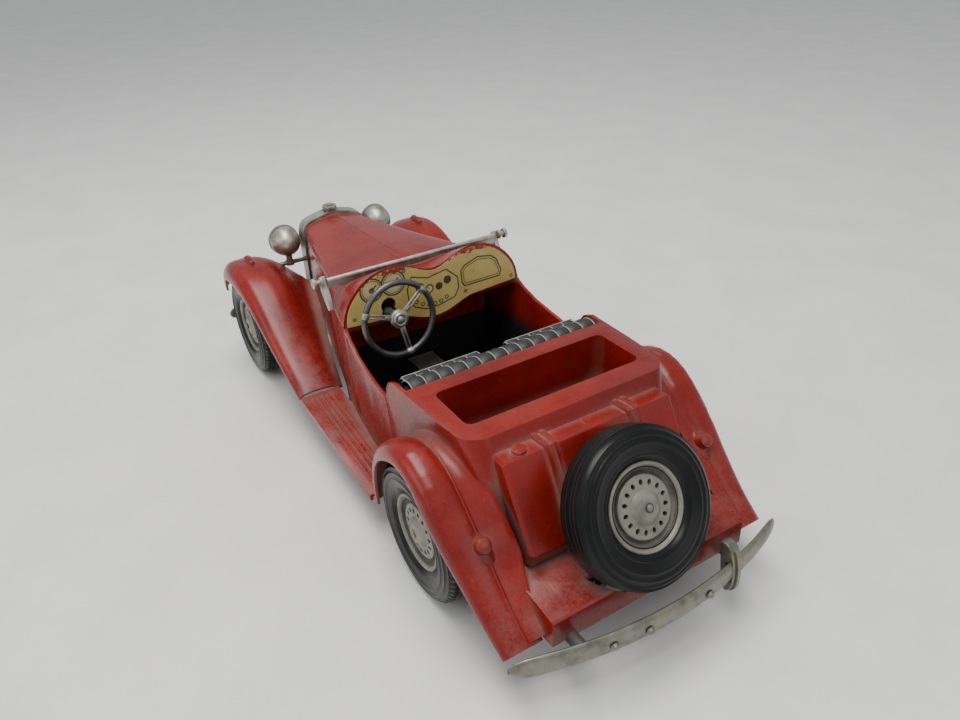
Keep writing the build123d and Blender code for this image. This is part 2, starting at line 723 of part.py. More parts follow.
def make_bumpers():
    rear_bar = bumper_bar(REAR_BUMPER_X, REAR_SWEEP, BUMPER_Z, -1)
    front_bar = bumper_bar(FRONT_BUMPER_X, FRONT_SWEEP, BUMPER_Z, 1)
    rear_horn = overrider(bumper_face(REAR_BUMPER_X, REAR_SWEEP, OVERRIDER_Y, -1), -OVERRIDER_Y,
        -1) - rear_bar
    front_horn = overrider(bumper_face(FRONT_BUMPER_X, FRONT_SWEEP, OVERRIDER_Y, 1), OVERRIDER_Y,
        1) - front_bar
    save("rear_bumper", rear_bar)
    save("rear_overrider", max(rear_horn.solids(), key=lambda s: s.volume))
    save("front_bumper", front_bar)
    save("front_overriders", both_sides(max(front_horn.solids(), key=lambda s: s.volume)))
    studs = []
    for y in (33.0, 16.0, -18.0):
        x = bumper_face(REAR_BUMPER_X, REAR_SWEEP, y, -1)
        stud = Pos(x + 1.0, y, BUMPER_Z) * Rot(0, -90,
            0) * (Cylinder(1.9, 2.8) + Pos(0, 0, 1.4) * Sphere(1.55))
        studs += (stud - rear_bar).solids().filter_by(lambda s: s.center().X < x + 0.5)
    save("rear_bumper_studs", Compound(children=studs))
    post_y = 44.0
    rear_post = rod(3.0, (rear(-79.0), post_y, BUMPER_Z - 1),
        (rear(-96.0), post_y, BUMPER_Z - 1)) - rear_bar
    rear_post = min(rear_post.solids(), key=lambda s: -s.center().X)
    strap = block((rear(-79.0), rear(-60.0)), (post_y - 1.5, post_y + 1.5), (BUMPER_Z - 4, BUMPER_Z + 1))
    foot = block((rear(-63.0), rear(-58.0)), (RAIL_Y[1], post_y + 1.5), (BUMPER_Z - 4, BUMPER_Z + 1))
    apron = rear_apron()
    save("rear_bumper_brackets", both_sides(rear_post + strap + foot - apron))
    front_post = rod(2.4, (front(RAIL_FRONT), 20.0, BUMPER_Z - 1.4),
        (front(60), 20.0, BUMPER_Z - 1.4)) - front_bar
    save("front_bumper_brackets", both_sides(min(front_post.solids(), key=lambda s: s.center().X)))


# ---- windscreen's lower rail ----
SCREEN_X, SCREEN_Z = rear(126.0), 111.4


def windscreen_rail():
    lift = 106.6
    rail = block((SCREEN_X - 0.7, SCREEN_X + 0.7), (-54.0, 54.0), (lift, SCREEN_Z - 0.6))
    rail += rod(1.3, (SCREEN_X, -54.0, SCREEN_Z), (SCREEN_X, 54.0, SCREEN_Z))
    return rail - body_cowl()


def body_cowl(grow=0.0):
    """The outside of the scuttle, to cut parts to its surface."""
    return loft(
        [
            arch_face(DASH_TOP, rear(COWL_X), 60, 54.9, -grow),
            arch_face(BONNET_REAR, rear(FIREWALL_X), 60, 50.0, -grow),
        ],
        ruled=True,
    )


def windscreen_brackets():
    horn = Spline((SCREEN_X + 2.6, 0, SCREEN_Z + 1.9), (SCREEN_X - 1.8, 0, 106.0),
        (SCREEN_X - 4.4, 0, 100.4), (SCREEN_X - 5.6, 0, 95.8))
    back = Spline((SCREEN_X - 3.6, 0, 95.4), (SCREEN_X + 1.4, 0, 100.4), (SCREEN_X + 4.4, 0, 106.0),
        (SCREEN_X + 3.4, 0, SCREEN_Z + 1.4))
    ends = [Line(horn @ 1, back @ 0), Line(back @ 1, horn @ 0)]
    plate = extrude(make_face([*horn.edges(), *back.edges(), *ends[0].edges(), *ends[1].edges()]), 3.0,
        dir=(0, 1, 0))
    return both_sides(Pos(0, 54.0, 0) * plate - body_cowl(0.05))


def windscreen_thumbscrews():
    x, z = SCREEN_X, SCREEN_Z
    screw = rod(1.5, (x, 57.0, z), (x, 62.0, z)) + rod(2.7, (x, 57.0, z), (x, 58.2, z)) + rod(2.9,
        (x, 60.6, z), (x, 62.4, z))
    return both_sides(screw)


def dash_plate():
    """The printed tin plate on the face of the dash."""
    inset = 1.3
    top = [(y - inset * min(1, y / 12), z - inset) for y, z in DASH_TOP[1:]]
    half = [(54.0, 91.7), (53.6, 96.4), *top]
    x = rear(COWL_X) - 0.45
    over = Spline(*[(x, y, z) for y, z in half + [(-y, z) for y, z in reversed(half[:-1])]])
    belly_half = [(24, 89.9), (16, 87.4), (8, 84.4), (0, 83.3)]
    belly = Spline(*[(x, y, z) for y, z in [(-y, z) for y,
        z in belly_half] + list(reversed(belly_half[:-1]))])
    sides = [Line((x, -54.0, 91.7), (x, -24, 89.9)), Line((x, 24, 89.9), (x, 54.0, 91.7))]
    sheet = extrude(make_face([*over.edges(), *belly.edges(), *sides[0].edges(), *sides[1].edges()]),
        0.45, dir=(1, 0, 0))
    hole = rod(4.4, column_point(rear(COWL_X - 4)), column_point(rear(COWL_X + 6)))
    return sheet - hole - Pos(0, 0, 4.6) * hole


# ---- cockpit trim ----
def seat_back():
    lean = [(rear(28.2), 91.0), (rear(31.5), 93.6), (rear(37.0), 92.6), (rear(40.6), 88.0),
        (rear(50.0), 60.0), (rear(38.0), 60.0), (rear(28.2), 86.0)]
    slab = side_plate(lean, -54.5, 54.5)
    return slab


def seat_cushions():
    pad = block((rear(46.0), rear(89.0)), (2.6, 47.0), (29.8, 59.4))
    pad = fillet(pad.edges().filter_by(Axis.Z), 5)
    pad = fillet(pad.faces().sort_by(Axis.Z)[-1].edges(), 2.5)
    return both_sides(pad - block((rear(40), rear(50.4)), (-60, 60), (58.0, 62)))


def floor_pan():
    floor = (tub_solid(WALL + 0.15)) & block(
        (rear(BULKHEAD_X + 4.2), rear(FIREWALL_X - WALL - 0.2)), (-60, 60), (SILL_Z + 0.05, SILL_Z + 1.45)
    )
    tunnel = [(-13, 29.0), (-8.5, 44.0), (8.5, 44.0), (13, 29.0), (11.6, 29.0), (7.4, 42.6),
        (-7.4, 42.6), (-11.6, 29.0)]
    floor += cross_plate(tunnel, rear(91.0), rear(FIREWALL_X - WALL - 0.3))
    return floor


# ---- chassis ----
RAIL_Y = (18.0, 22.0)
RAIL_Z = (22.0, SILL_Z)
RAIL_FRONT = 30.0
BEARING_Y = (27.0, 30.0)


def chassis_frame():
    rails = block((rear(-64), front(RAIL_FRONT)), RAIL_Y, RAIL_Z)
    frame = rails + mirrored(rails)
    for x in (rear(-62), rear(26), rear(120), rear(190), front(22)):
        frame += block((x - 3, x + 3), (-20, 20), (22.0, 25.0))
    for x in (rear(26), rear(120)):
        frame += block((x - 3, x + 3), (-46, 46), (25.0, 27.9))
    ear = block((rear(-6), rear(6)), BEARING_Y, (25.0, 40.0)) + block((rear(-6), rear(6)), (20, 30),
        (25.0, 27.9))
    frame += ear + mirrored(ear)
    frame -= rod(AXLE_R + RUNNING, (REAR_X, -40, TYRE_R), (REAR_X, 40, TYRE_R))
    return frame


def chassis_screws():
    screws = []
    for x in (rear(26), rear(120)):
        for y in (-40, 40):
            head = Cylinder(2.6, 1.4) - Pos(0, 0, -0.6) * Box(6, 0.7, 0.7)
            screws.append(Pos(x, y, 24.3) * head)
    return Compound(children=[s for screw in screws for s in screw.solids()])


# ---- front axle and steering ----
KINGPIN_Y = 48.0
ARM_LENGTH = 14.0
TIE_Z = (36.0, 37.4)
TIE_X = FRONT_X - ARM_LENGTH
PIN_R = 1.3


def front_axle_beam():
    beam = block((FRONT_X - 4, FRONT_X + 4), (-KINGPIN_Y, KINGPIN_Y), (28.0, 33.0))
    for side in (-1, 1):
        beam += rod(4.0, (FRONT_X, side * KINGPIN_Y, 28.0), (FRONT_X, side * KINGPIN_Y, 39.0))
        beam -= rod(AXLE_R + RUNNING, (FRONT_X, side * KINGPIN_Y, 27), (FRONT_X, side * KINGPIN_Y, 40))
    return beam


def knuckle():
    """Left steering knuckle: kingpin, stub axle and steering arm in one piece."""
    top = block((FRONT_X - 4, FRONT_X + 4), (KINGPIN_Y - 4, 55.0), (39.3, 42.0))
    piece = rod(AXLE_R, (FRONT_X, KINGPIN_Y, 27.0), (FRONT_X, KINGPIN_Y, 42.0)) + top
    piece += block((FRONT_X - 4, FRONT_X + 4), (53.2, 55.0), (30.0, 42.0))
    piece += rod(3.6, (FRONT_X, 55.0, TYRE_R), (FRONT_X, TRACK_HALF + 0.4, TYRE_R))
    piece += rod(AXLE_R, (FRONT_X, 55.0, TYRE_R), (FRONT_X, TRACK_HALF + HUB_TOP + 0.8, TYRE_R))
    piece += block((TIE_X - 2, FRONT_X), (KINGPIN_Y - 2.2, KINGPIN_Y + 2.2), (40.0, 42.0))
    piece += rod(PIN_R, (TIE_X, KINGPIN_Y, 34.6), (TIE_X, KINGPIN_Y, 40.0))
    return piece


LEVER_X = rear(182.0)
LEVER_PIVOT_Z = 62.0
CRANK_R = 6.0
FORK_HALF = 3.0
FORK_TOP = 93.0
COLUMN_END_X = rear(178.0)


def tie_rod():
    """A flat track rod with slotted ends and a tongue that reaches back to the steering lever."""
    low, high = TIE_Z
    y_lever = WHEEL_HUB[1]
    rod_plate = block((TIE_X - 3, TIE_X + 3), (-KINGPIN_Y - 3.4, KINGPIN_Y + 3.4), (low, high))
    rod_plate += block((LEVER_X - 4.5, TIE_X), (y_lever - 3.2, y_lever + 3.2), (low, high))
    for side in (-1, 1):
        rod_plate -= block((TIE_X - 1.45, TIE_X + 2.2),
            (side * KINGPIN_Y - PIN_R - 0.3, side * KINGPIN_Y + PIN_R + 0.3), (30, 40))
    return rod_plate - block((LEVER_X - 1.4, LEVER_X + 2.6), (y_lever - 2.3, y_lever + 2.3), (30, 40))


def steering_lever():
    """Rocks on a pin: the column's crank drives its forked top and its foot moves the track rod."""
    y, lower = WHEEL_HUB[1], TIE_Z[0] - 2.0
    arm = block((LEVER_X, LEVER_X + 1.6), (y - 2.0, y + 2.0), (lower, 76.0))
    arm += block((LEVER_X, LEVER_X + 1.6), (y - FORK_HALF, y + FORK_HALF), (76.0, FORK_TOP))
    arm += rod(4.0, (LEVER_X, y, LEVER_PIVOT_Z), (LEVER_X + 1.6, y, LEVER_PIVOT_Z))
    arm -= rod(AXLE_R + RUNNING, (LEVER_X - 1, y, LEVER_PIVOT_Z), (LEVER_X + 3, y, LEVER_PIVOT_Z))
    return arm - block((LEVER_X - 1, LEVER_X + 3), (y - PIN_R - 0.3, y + PIN_R + 0.3), (83.0, 97))


def steering_bracket():
    """An upright plate on the chassis with the lever's pivot pin."""
    y, foot_y = WHEEL_HUB[1], 20.6
    x_low, x_high = LEVER_X + 2.4, LEVER_X + 4.0
    outline = [(15.0, 28.0), (foot_y, 28.0), (foot_y, 40.0), (y + 5, 46.0), (y + 5, 67.0),
        (y - 5, 67.0), (15.0, 58.0)]
    bracket = cross_plate(outline, x_low, x_high) + block((x_low, x_low + 12), (15.0, foot_y), (28.0, 29.6))
    return bracket + rod(AXLE_R, (LEVER_X - 0.6, y, LEVER_PIVOT_Z), (x_high, y, LEVER_PIVOT_Z))


def steering_column():
    """Column from the hub to its crank, with a crank pin above the axis."""
    hub, neck, end = WHEEL_HUB, column_point(rear(137.0)), column_point(COLUMN_END_X)
    start = column_point(WHEEL_HUB[0] + 1.0)
    column = rod(COLUMN_R, start, neck) + rod(SHAFT_R, neck, end)
    place = Plane(origin=end, x_dir=(0, 1, 0), z_dir=COLUMN_DIR)
    web = Pos(0, CRANK_R / 2, -1.3) * Box(4.6, CRANK_R + 4.6, 2.2)
    pin = Pos(0, CRANK_R, -1.3) * Cylinder(PIN_R, 9.0, align=(Align.CENTER, Align.CENTER, Align.MIN))
    crank = place * (web + pin)
    if crank.center().Z < end[2]:
        crank = place * Rot(0, 0, 180) * (web + pin)
    return column + crank


def steering_wheel():
    """Three-spoked wheel, modelled flat and then put on the end of the column."""
    ring_r, grip_r = 20.2, 1.75
    ring = Torus(ring_r, grip_r)
    hub = turned([(0, -2.4), (4.4, -2.4), (5.2, -1.2), (5.2, 0.8), (4.2, 2.0), (3.4, 2.4), (2.9, 2.2),
        (2.4, 2.9), (0, 3.0)])
    wheel_part = ring + hub
    for turn in (90, 210, 330):
        spoke = Pos(12.0, 0, -0.2) * Box(16.5, 2.9, 1.5) - Pos(12.0, 0, 0.55) * Box(12.0, 0.8, 0.5)
        clamp = Pos(ring_r - 1.2, 0, 0) * Box(2.2, 5.0, 3.6)
        wheel_part += Rot(0, 0, turn) * (spoke + clamp)
    place = Plane(origin=WHEEL_HUB, x_dir=(0, 1, 0), z_dir=(-COLUMN_DIR.X, 0, -COLUMN_DIR.Z))
    return place * wheel_part - rod(COLUMN_R, column_point(WHEEL_HUB[0] + 1.0), column_point(rear(104)))


# ---- friction drive ----
MODULE, PRESSURE = 0.6, radians(20)
BIG_TEETH, SMALL_TEETH = 36, 12
CENTRES = MODULE * (BIG_TEETH + SMALL_TEETH) / 2
GEAR_Y = (4.0, 8.0)
SECOND_Y = (9.0, 12.0)
LIFT = radians(40)
IDLER = (REAR_X - CENTRES * cos(LIFT), TYRE_R + CENTRES * sin(LIFT))
FLYWHEEL = (IDLER[0] - CENTRES, IDLER[1])
SHAFT = 1.5


def gear_face(teeth, phase):
    """A spur gear's outline in the XZ plane; a tooth points at angle phase."""
    pitch_r = MODULE * teeth / 2
    base_r, tip_r, root_r = pitch_r * cos(PRESSURE), pitch_r + 0.8 * MODULE, pitch_r - 1.15 * MODULE
    slack = 0.07 / pitch_r
    half = pi / (2 * teeth) + tan(PRESSURE) - PRESSURE - slack

    def flank(r):
        a = sqrt(max((r / base_r) ** 2 - 1, 0))
        return half - (a - atan2(a, 1))

    radii = [max(base_r, root_r) + (tip_r - max(base_r, root_r)) * k / 3 for k in range(4)]
    points = []
    for t in range(teeth):
        mid = phase + 2 * pi * t / teeth
        edge = [(r, flank(r)) for r in radii]
        points += [(root_r, mid - edge[0][1]), *[(r, mid - a) for r, a in edge]]
        points += [*[(r, mid + a) for r, a in reversed(edge)], (root_r, mid + edge[0][1])]
    return make_face(Polyline(*[(r * cos(a), 0, r * sin(a)) for r, a in points], close=True))


def gear(teeth, at, y_range, phase, bore):
    blank = Pos(at[0], y_range[0], at[1]) * extrude(gear_face(teeth, phase), y_range[1] - y_range[0],
        dir=(0, 1, 0))
    if bore:
        blank -= rod(bore, (at[0], y_range[0] - 1, at[1]), (at[0], y_range[1] + 1, at[1]))
    return blank


def axle_gear():
    return gear(BIG_TEETH, (REAR_X, TYRE_R), GEAR_Y, pi - LIFT, AXLE_R)


def idler_gear():
    """Pinion driven by the axle and the large gear that drives the flywheel, on one shaft."""
    toward_axle = -LIFT
    pinion = gear(SMALL_TEETH, IDLER, (GEAR_Y[0], SECOND_Y[0]), toward_axle + pi / SMALL_TEETH, 0)
    large = gear(BIG_TEETH, IDLER, SECOND_Y, pi, 0)
    return pinion + large + rod(SHAFT, (IDLER[0], -1.6, IDLER[1]), (IDLER[0], 24.0, IDLER[1]))


def flywheel():
    pinion = gear(SMALL_TEETH, FLYWHEEL, (SECOND_Y[0], 14.0), pi / SMALL_TEETH, 0)
    disc = rod(11.6, (FLYWHEEL[0], 13.5, FLYWHEEL[1]), (FLYWHEEL[0], 20.5, FLYWHEEL[1]))
    disc -= rod(9.4, (FLYWHEEL[0], 19.0, FLYWHEEL[1]), (FLYWHEEL[0], 21.0, FLYWHEEL[1]))
    return pinion + disc + rod(SHAFT, (FLYWHEEL[0], -1.6, FLYWHEEL[1]), (FLYWHEEL[0], 24.0, FLYWHEEL[1]))


def motor_frame():
    """Two side plates joined by straps, with bearings for the idler and the flywheel."""
    outline = [(rear(-38), 28.0), (rear(-14), 28.0), (rear(-4), 42.0), (rear(-2), 52.0),
        (rear(-9), 58.0), (rear(-32), 58.0)]
    frame = side_plate(outline, -1.5, 0.0) + side_plate(outline, 22.3, 23.8)
    frame += block((rear(-37), rear(-16)), (-1.5, 23.8), (28.0, 29.4))
    frame += block((rear(-31), rear(-10)), (-1.5, 23.8), (56.6, 58.0))
    for x, z in (IDLER, FLYWHEEL):
        frame -= rod(SHAFT + RUNNING, (x, -10, z), (x, 30, z))
    return frame - rod(AXLE_R + 1.0, (REAR_X, -10, TYRE_R), (REAR_X, 30, TYRE_R))


def rear_axle():
    reach = TRACK_HALF + HUB_TOP + 0.8
    return rod(AXLE_R, (REAR_X, -reach, TYRE_R), (REAR_X, reach, TYRE_R))


def main():
    make_wheels()
    save("body_tub", body_tub())
    save("bonnet", bonnet())
    save("radiator_shell", radiator_shell())
    save("radiator_grille", radiator_grille())
    save("radiator_cap", radiator_cap())
    wing, tail_wing = front_wing(), rear_wing()
    for name, part in (("front_wing", wing), ("rear_wing", tail_wing), ("running_board", running_board())):
        save(f"{name}_left", part)
        save(f"{name}_right", mirrored(part))
    save("fuel_tank", fuel_tank())
    save("tank_straps", tank_straps())
    save("tank_filler_cap", tank_filler_cap())
    save("rear_apron", rear_apron())
    save("spare_carrier", spare_carrier())
    save("spare_tyre", on_spare(tyre()))
    save("spare_wheel", on_spare(wheel()))
    save("headlamp_shells", headlamp_shells())
    save("headlamp_lenses", headlamp_lenses())
    save("headlamp_bar", headlamp_bar())
    save("tail_lamps", tail_lamps())
    save("side_lamps", side_lamps())
    make_bumpers()
    save("windscreen_rail", windscreen_rail())
    save("windscreen_brackets", windscreen_brackets())
    save("windscreen_thumbscrews", windscreen_thumbscrews())
    save("dash_plate", dash_plate())
    save("seat_back", seat_back())
    save("seat_cushions", seat_cushions())
    save("floor_pan", floor_pan())
    save("chassis_frame", chassis_frame())
    save("chassis_screws", chassis_screws())
    save("front_axle_beam", front_axle_beam())
    save("knuckle_left", knuckle())
    save("knuckle_right", mirrored(knuckle()))
    save("tie_rod", tie_rod())
    save("steering_lever", steering_lever())
    save("steering_bracket", steering_bracket())
    save("steering_column", steering_column())
    save("steering_wheel", steering_wheel())
    save("rear_axle", rear_axle())
    save("axle_gear", axle_gear())
    save("idler_gear", idler_gear())
    save("flywheel", flywheel())
    save("motor_frame", motor_frame())


if __name__ == "__main__":
    main()
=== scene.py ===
import json
from math import atan2, cos, pi, radians, sin, sqrt, tau

import bmesh
import bpy
from mathutils import Matrix, Vector
from mathutils.bvhtree import BVHTree


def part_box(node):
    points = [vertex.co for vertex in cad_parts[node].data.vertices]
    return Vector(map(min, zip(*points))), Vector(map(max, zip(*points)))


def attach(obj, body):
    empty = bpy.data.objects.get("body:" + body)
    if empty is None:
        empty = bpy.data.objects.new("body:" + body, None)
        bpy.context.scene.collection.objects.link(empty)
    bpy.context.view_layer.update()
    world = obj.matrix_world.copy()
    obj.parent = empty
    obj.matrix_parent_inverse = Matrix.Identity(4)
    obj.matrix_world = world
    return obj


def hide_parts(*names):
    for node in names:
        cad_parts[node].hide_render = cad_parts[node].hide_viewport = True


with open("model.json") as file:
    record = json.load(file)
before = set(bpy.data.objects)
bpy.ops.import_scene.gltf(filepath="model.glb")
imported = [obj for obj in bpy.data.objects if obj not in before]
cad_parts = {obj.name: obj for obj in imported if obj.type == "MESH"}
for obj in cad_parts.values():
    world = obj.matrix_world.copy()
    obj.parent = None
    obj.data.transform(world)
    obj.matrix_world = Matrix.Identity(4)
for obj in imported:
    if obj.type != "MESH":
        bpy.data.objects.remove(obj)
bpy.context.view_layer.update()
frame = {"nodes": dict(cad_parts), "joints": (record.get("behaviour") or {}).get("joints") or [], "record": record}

MM = 0.001
NODES = frame["nodes"]


def middle(node):
    low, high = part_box(node)
    return (low + high) / 2


REAR_X = middle("rear_axle").x
FRONT_X = middle("front_wheel_left").x
AXLE_Z = middle("rear_axle").z
TRACK_HALF = middle("rear_tyre_left").y
SIDES = (("left", 1), ("right", -1))

# Points closer than this, in metres, are merged: in a turned mesh, round a bumper bar and in a CAD copy.
SAME_POINT = 1e-7
BAR_SEAM = 1e-6
CAD_SEAM = 2e-6


def rear(x):
    """A place along the car in metres, measured forward from the rear axle in mm."""
    return REAR_X + x * MM


def rear_mm(x):
    """The same place in mm, which is how the finishes measure."""
    return REAR_X * 1000 + x


def ramp(value, start, length):
    """0 up to start, 1 from a length past it, and straight between."""
    return min(max((value - start) / length, 0.0), 1.0)


# ---- camera and lights ----
# The camera's place is in mm from the rear axle, middle line and floor, and its turns are in degrees.
LENS, SENSOR = 29.0, 36.0
CAMERA_BEHIND, CAMERA_LEFT, CAMERA_HEIGHT = 248.9, 180.1, 285.5
CAMERA_YAW, CAMERA_PITCH, CAMERA_ROLL = -30.47, -30.59, -2.66
FAR_CLIP = 50
SKY_COLOUR = (0.50, 0.52, 0.53, 1)

# Name, place, target and size in metres, then watts and tint.
SOFTBOXES = [
    ("overhead", (0.05, 0.15, 1.15), (0.0, 0.0, 0.0), (1.1, 0.5), 14.5, (1.0, 0.985, 0.96)),
    ("left_fill", (0.1, 1.2, 0.75), (0.0, 0.0, 0.05), (0.9, 0.7), 4.0, (0.93, 0.97, 1.0)),
    ("rear_fill", (-1.1, -0.3, 0.7), (-0.1, 0.0, 0.05), (0.7, 0.5), 1.2, (1.0, 1.0, 1.0)),
]


def aim(obj, place, target, roll=0.0):
    obj.location = place
    turn = (Vector(target) - Vector(place)).to_track_quat("-Z", "Y").to_matrix().to_4x4()
    obj.rotation_euler = (turn @ Matrix.Rotation(roll, 4, "Z")).to_euler()


def make_camera():
    lens = bpy.data.cameras.new("camera")
    lens.lens = LENS
    lens.sensor_width = SENSOR
    lens.clip_end = FAR_CLIP
    camera = bpy.data.objects.new("camera", lens)
    bpy.context.scene.collection.objects.link(camera)
    yaw, pitch = radians(CAMERA_YAW), radians(CAMERA_PITCH)
    place = Vector((rear(-CAMERA_BEHIND), CAMERA_LEFT * MM, CAMERA_HEIGHT * MM))
    ahead = Vector((cos(yaw) * cos(pitch), sin(yaw) * cos(pitch), sin(pitch)))
    aim(camera, place, place + ahead, radians(CAMERA_ROLL))
    bpy.context.scene.camera = camera


def softbox(name, place, target, size, watts, tint):
    data = bpy.data.lights.new(name, "AREA")
    data.shape = "RECTANGLE"
    data.size, data.size_y = size
    data.energy = watts
    data.color = tint
    light = bpy.data.objects.new(name, data)
    bpy.context.scene.collection.objects.link(light)
    aim(light, place, target)


def make_lights():
    for row in SOFTBOXES:
        softbox(*row)
    world = bpy.data.worlds.new("studio")
    world.use_nodes = True
    sky = world.node_tree.nodes["Background"]
    sky.inputs["Color"].default_value = SKY_COLOUR
    sky.inputs["Strength"].default_value = 1.0
    bpy.context.scene.world = world


# ---- shader maths ----
OCCLUSION_SAMPLES = 8


class Num:
    """A number that varies over a surface; arithmetic on it adds Math nodes."""

    def __init__(self, board, socket):
        self.board = board
        self.socket = socket

    def math(self, operation, *values):
        return self.board.add("ShaderNodeMath", {"operation": operation}, dict(enumerate(values)))

    def __add__(self, other):
        return self.math("ADD", self, other)

    __radd__ = __add__

    def __sub__(self, other):
        return self.math("SUBTRACT", self, other)

    def __rsub__(self, other):
        return self.math("SUBTRACT", other, self)

    def __mul__(self, other):
        return self.math("MULTIPLY", self, other)

    __rmul__ = __mul__

    def __truediv__(self, other):
        return self.math("DIVIDE", self, other)

    def __pow__(self, other):
        return self.math("POWER", self, other)

    def __neg__(self):
        return self.math("MULTIPLY", self, -1.0)

    def __abs__(self):
        return self.math("ABSOLUTE", self)

    def __lt__(self, other):
        return self.math("LESS_THAN", self, other)

    def __gt__(self, other):
        return self.math("GREATER_THAN", self, other)

    def clamp(self):
        return self.board.add("ShaderNodeClamp", {}, {"Value": self})

    def step(self, low, high):
        """0 below low, 1 above high and smooth between."""
        inputs = {"Value": self, "From Min": low, "From Max": high}
        return self.board.add("ShaderNodeMapRange", {"interpolation_type": "SMOOTHSTEP"}, inputs)

    def wave(self):
        return self.math("SINE", self)

    def wrap(self, length):
        """The remainder, from 0 to length."""
        return self.math("WRAP", self, length, 0.0)


class Finish:
    """Builds one material. x, y and z are the surface point in millimetres."""

    def __init__(self, name):
        self.material = bpy.data.materials.new(name)
        self.material.use_nodes = True
        self.tree = self.material.node_tree
        self.tree.nodes.clear()
        point = self.add("ShaderNodeTexCoord", {}, {}, "Object")
        to_mm = {0: point, "Scale": 1000.0}
        self.place = self.add("ShaderNodeVectorMath", {"operation": "SCALE"}, to_mm, "Vector")
        self.x, self.y, self.z = [self.add("ShaderNodeSeparateXYZ", {}, {0: self.place}, k) for k in "XYZ"]

    def add(self, kind, settings, inputs, out=0):
        """Adds a node: its settings first, then the values or links of its sockets. Gives one output."""
        node = self.tree.nodes.new(kind)
        for key, value in settings.items():
            setattr(node, key, value)
        for key, value in inputs.items():
            socket = node.inputs[key]
            if isinstance(value, Num):
                self.tree.links.new(value.socket, socket)
            elif value is not None:
                socket.default_value = value
        return Num(self, node.outputs[out])

    def noise(self, size, detail=3.0, roughness=0.55, stretch=None):
        """Noise from 0 to 1 whose spots are about size millimetres across."""
        place = self.place
        if stretch:
            inputs = {0: place, 1: stretch}
            place = self.add("ShaderNodeVectorMath", {"operation": "MULTIPLY"}, inputs, "Vector")
        inputs = {"Vector": place, "Scale": 1.0 / size, "Detail": detail, "Roughness": roughness}
        return self.add("ShaderNodeTexNoise", {}, inputs, "Fac")

    def occlusion(self, reach, inside, only_local):
        settings = {"samples": OCCLUSION_SAMPLES, "inside": inside, "only_local": only_local}
        return self.add("ShaderNodeAmbientOcclusion", settings, {"Distance": reach * MM}, "AO")

    def shade(self, reach):
        """1 in the open and darker towards 0 in corners, looking reach millimetres round."""
        return self.occlusion(reach, False, False)

    def edges(self, reach):
        """1 on convex edges and 0 on flat faces."""
        return (1.0 - self.occlusion(reach, True, True)).clamp()

    def mix(self, mask, first, second):
        """The first colour where mask is 0 and the second where it is 1."""
        inputs = {0: mask, 6: self.colour(first), 7: self.colour(second)}
        return self.add("ShaderNodeMix", {"data_type": "RGBA"}, inputs, 2)

    def colour(self, value):
        return value if isinstance(value, Num) else (*value, 1)

    def bump(self, height, depth, strength):
        """A normal from a height of 0 to 1 that stands depth millimetres proud."""
        inputs = {"Height": height, "Distance": depth * MM, "Strength": strength}
        return self.add("ShaderNodeBump", {}, inputs, "Normal")

    def facing(self, axis):
        """How far the surface faces along X, Y or Z, from -1 to 1."""
        normal = self.add("ShaderNodeNewGeometry", {}, {}, "Normal")
        return self.add("ShaderNodeSeparateXYZ", {}, {0: normal}, axis)

    def finish(self, base, roughness, metallic=0.0, normal=None, **constants):
        inputs = {"Base Color": self.colour(base), "Roughness": roughness}
        inputs |= {"Metallic": metallic, "Normal": normal}
        inputs |= {key.replace("_", " "): value for key, value in constants.items()}
        shader = self.add("ShaderNodeBsdfPrincipled", {}, inputs)
        output = self.tree.nodes.new("ShaderNodeOutputMaterial")
        self.tree.links.new(shader.socket, output.inputs["Surface"])
        return self.material


# ---- finishes ----
ENAMEL_BRIGHT = (0.235, 0.0105, 0.006)
ENAMEL_DEEP = (0.150, 0.006, 0.004)
ENAMEL_RUBBED = (0.42, 0.15, 0.115)
ENAMEL_SCRATCHED = (0.55, 0.25, 0.20)
ENAMEL_SPECULAR = 0.38
ENAMEL_RELIEF, ENAMEL_RELIEF_STRENGTH = 0.22, 0.55
DUST = (0.29, 0.165, 0.135)
BARE_METAL = (0.42, 0.34, 0.29)
PATINA = (0.30, 0.25, 0.15)
COCKPIT_BLACK = (0.009, 0.008, 0.008)
RUBBER = (0.0045, 0.0045, 0.005)
RUBBER_DUST = (0.10, 0.10, 0.095)
GLASS = (0.62, 0.64, 0.62)
GLASS_GRIME = (0.34, 0.31, 0.26)

# The cockpit's black lining, in mm: along from the rear axle, out from the middle and up from the floor.
LINING_BACK, LINING_FRONT = 26.0, 134.0
LINING_SLOPE_BACK, LINING_SLOPE_FRONT = 50, 104
LINING_TOP_BACK, LINING_TOP_FRONT = 62.0, 69.0
LINING_HALF, LINING_END_HALF = 50.0, 52.0
UNDER_DASH_BACK, UNDER_DASH_TOP = 106.4, 105.0


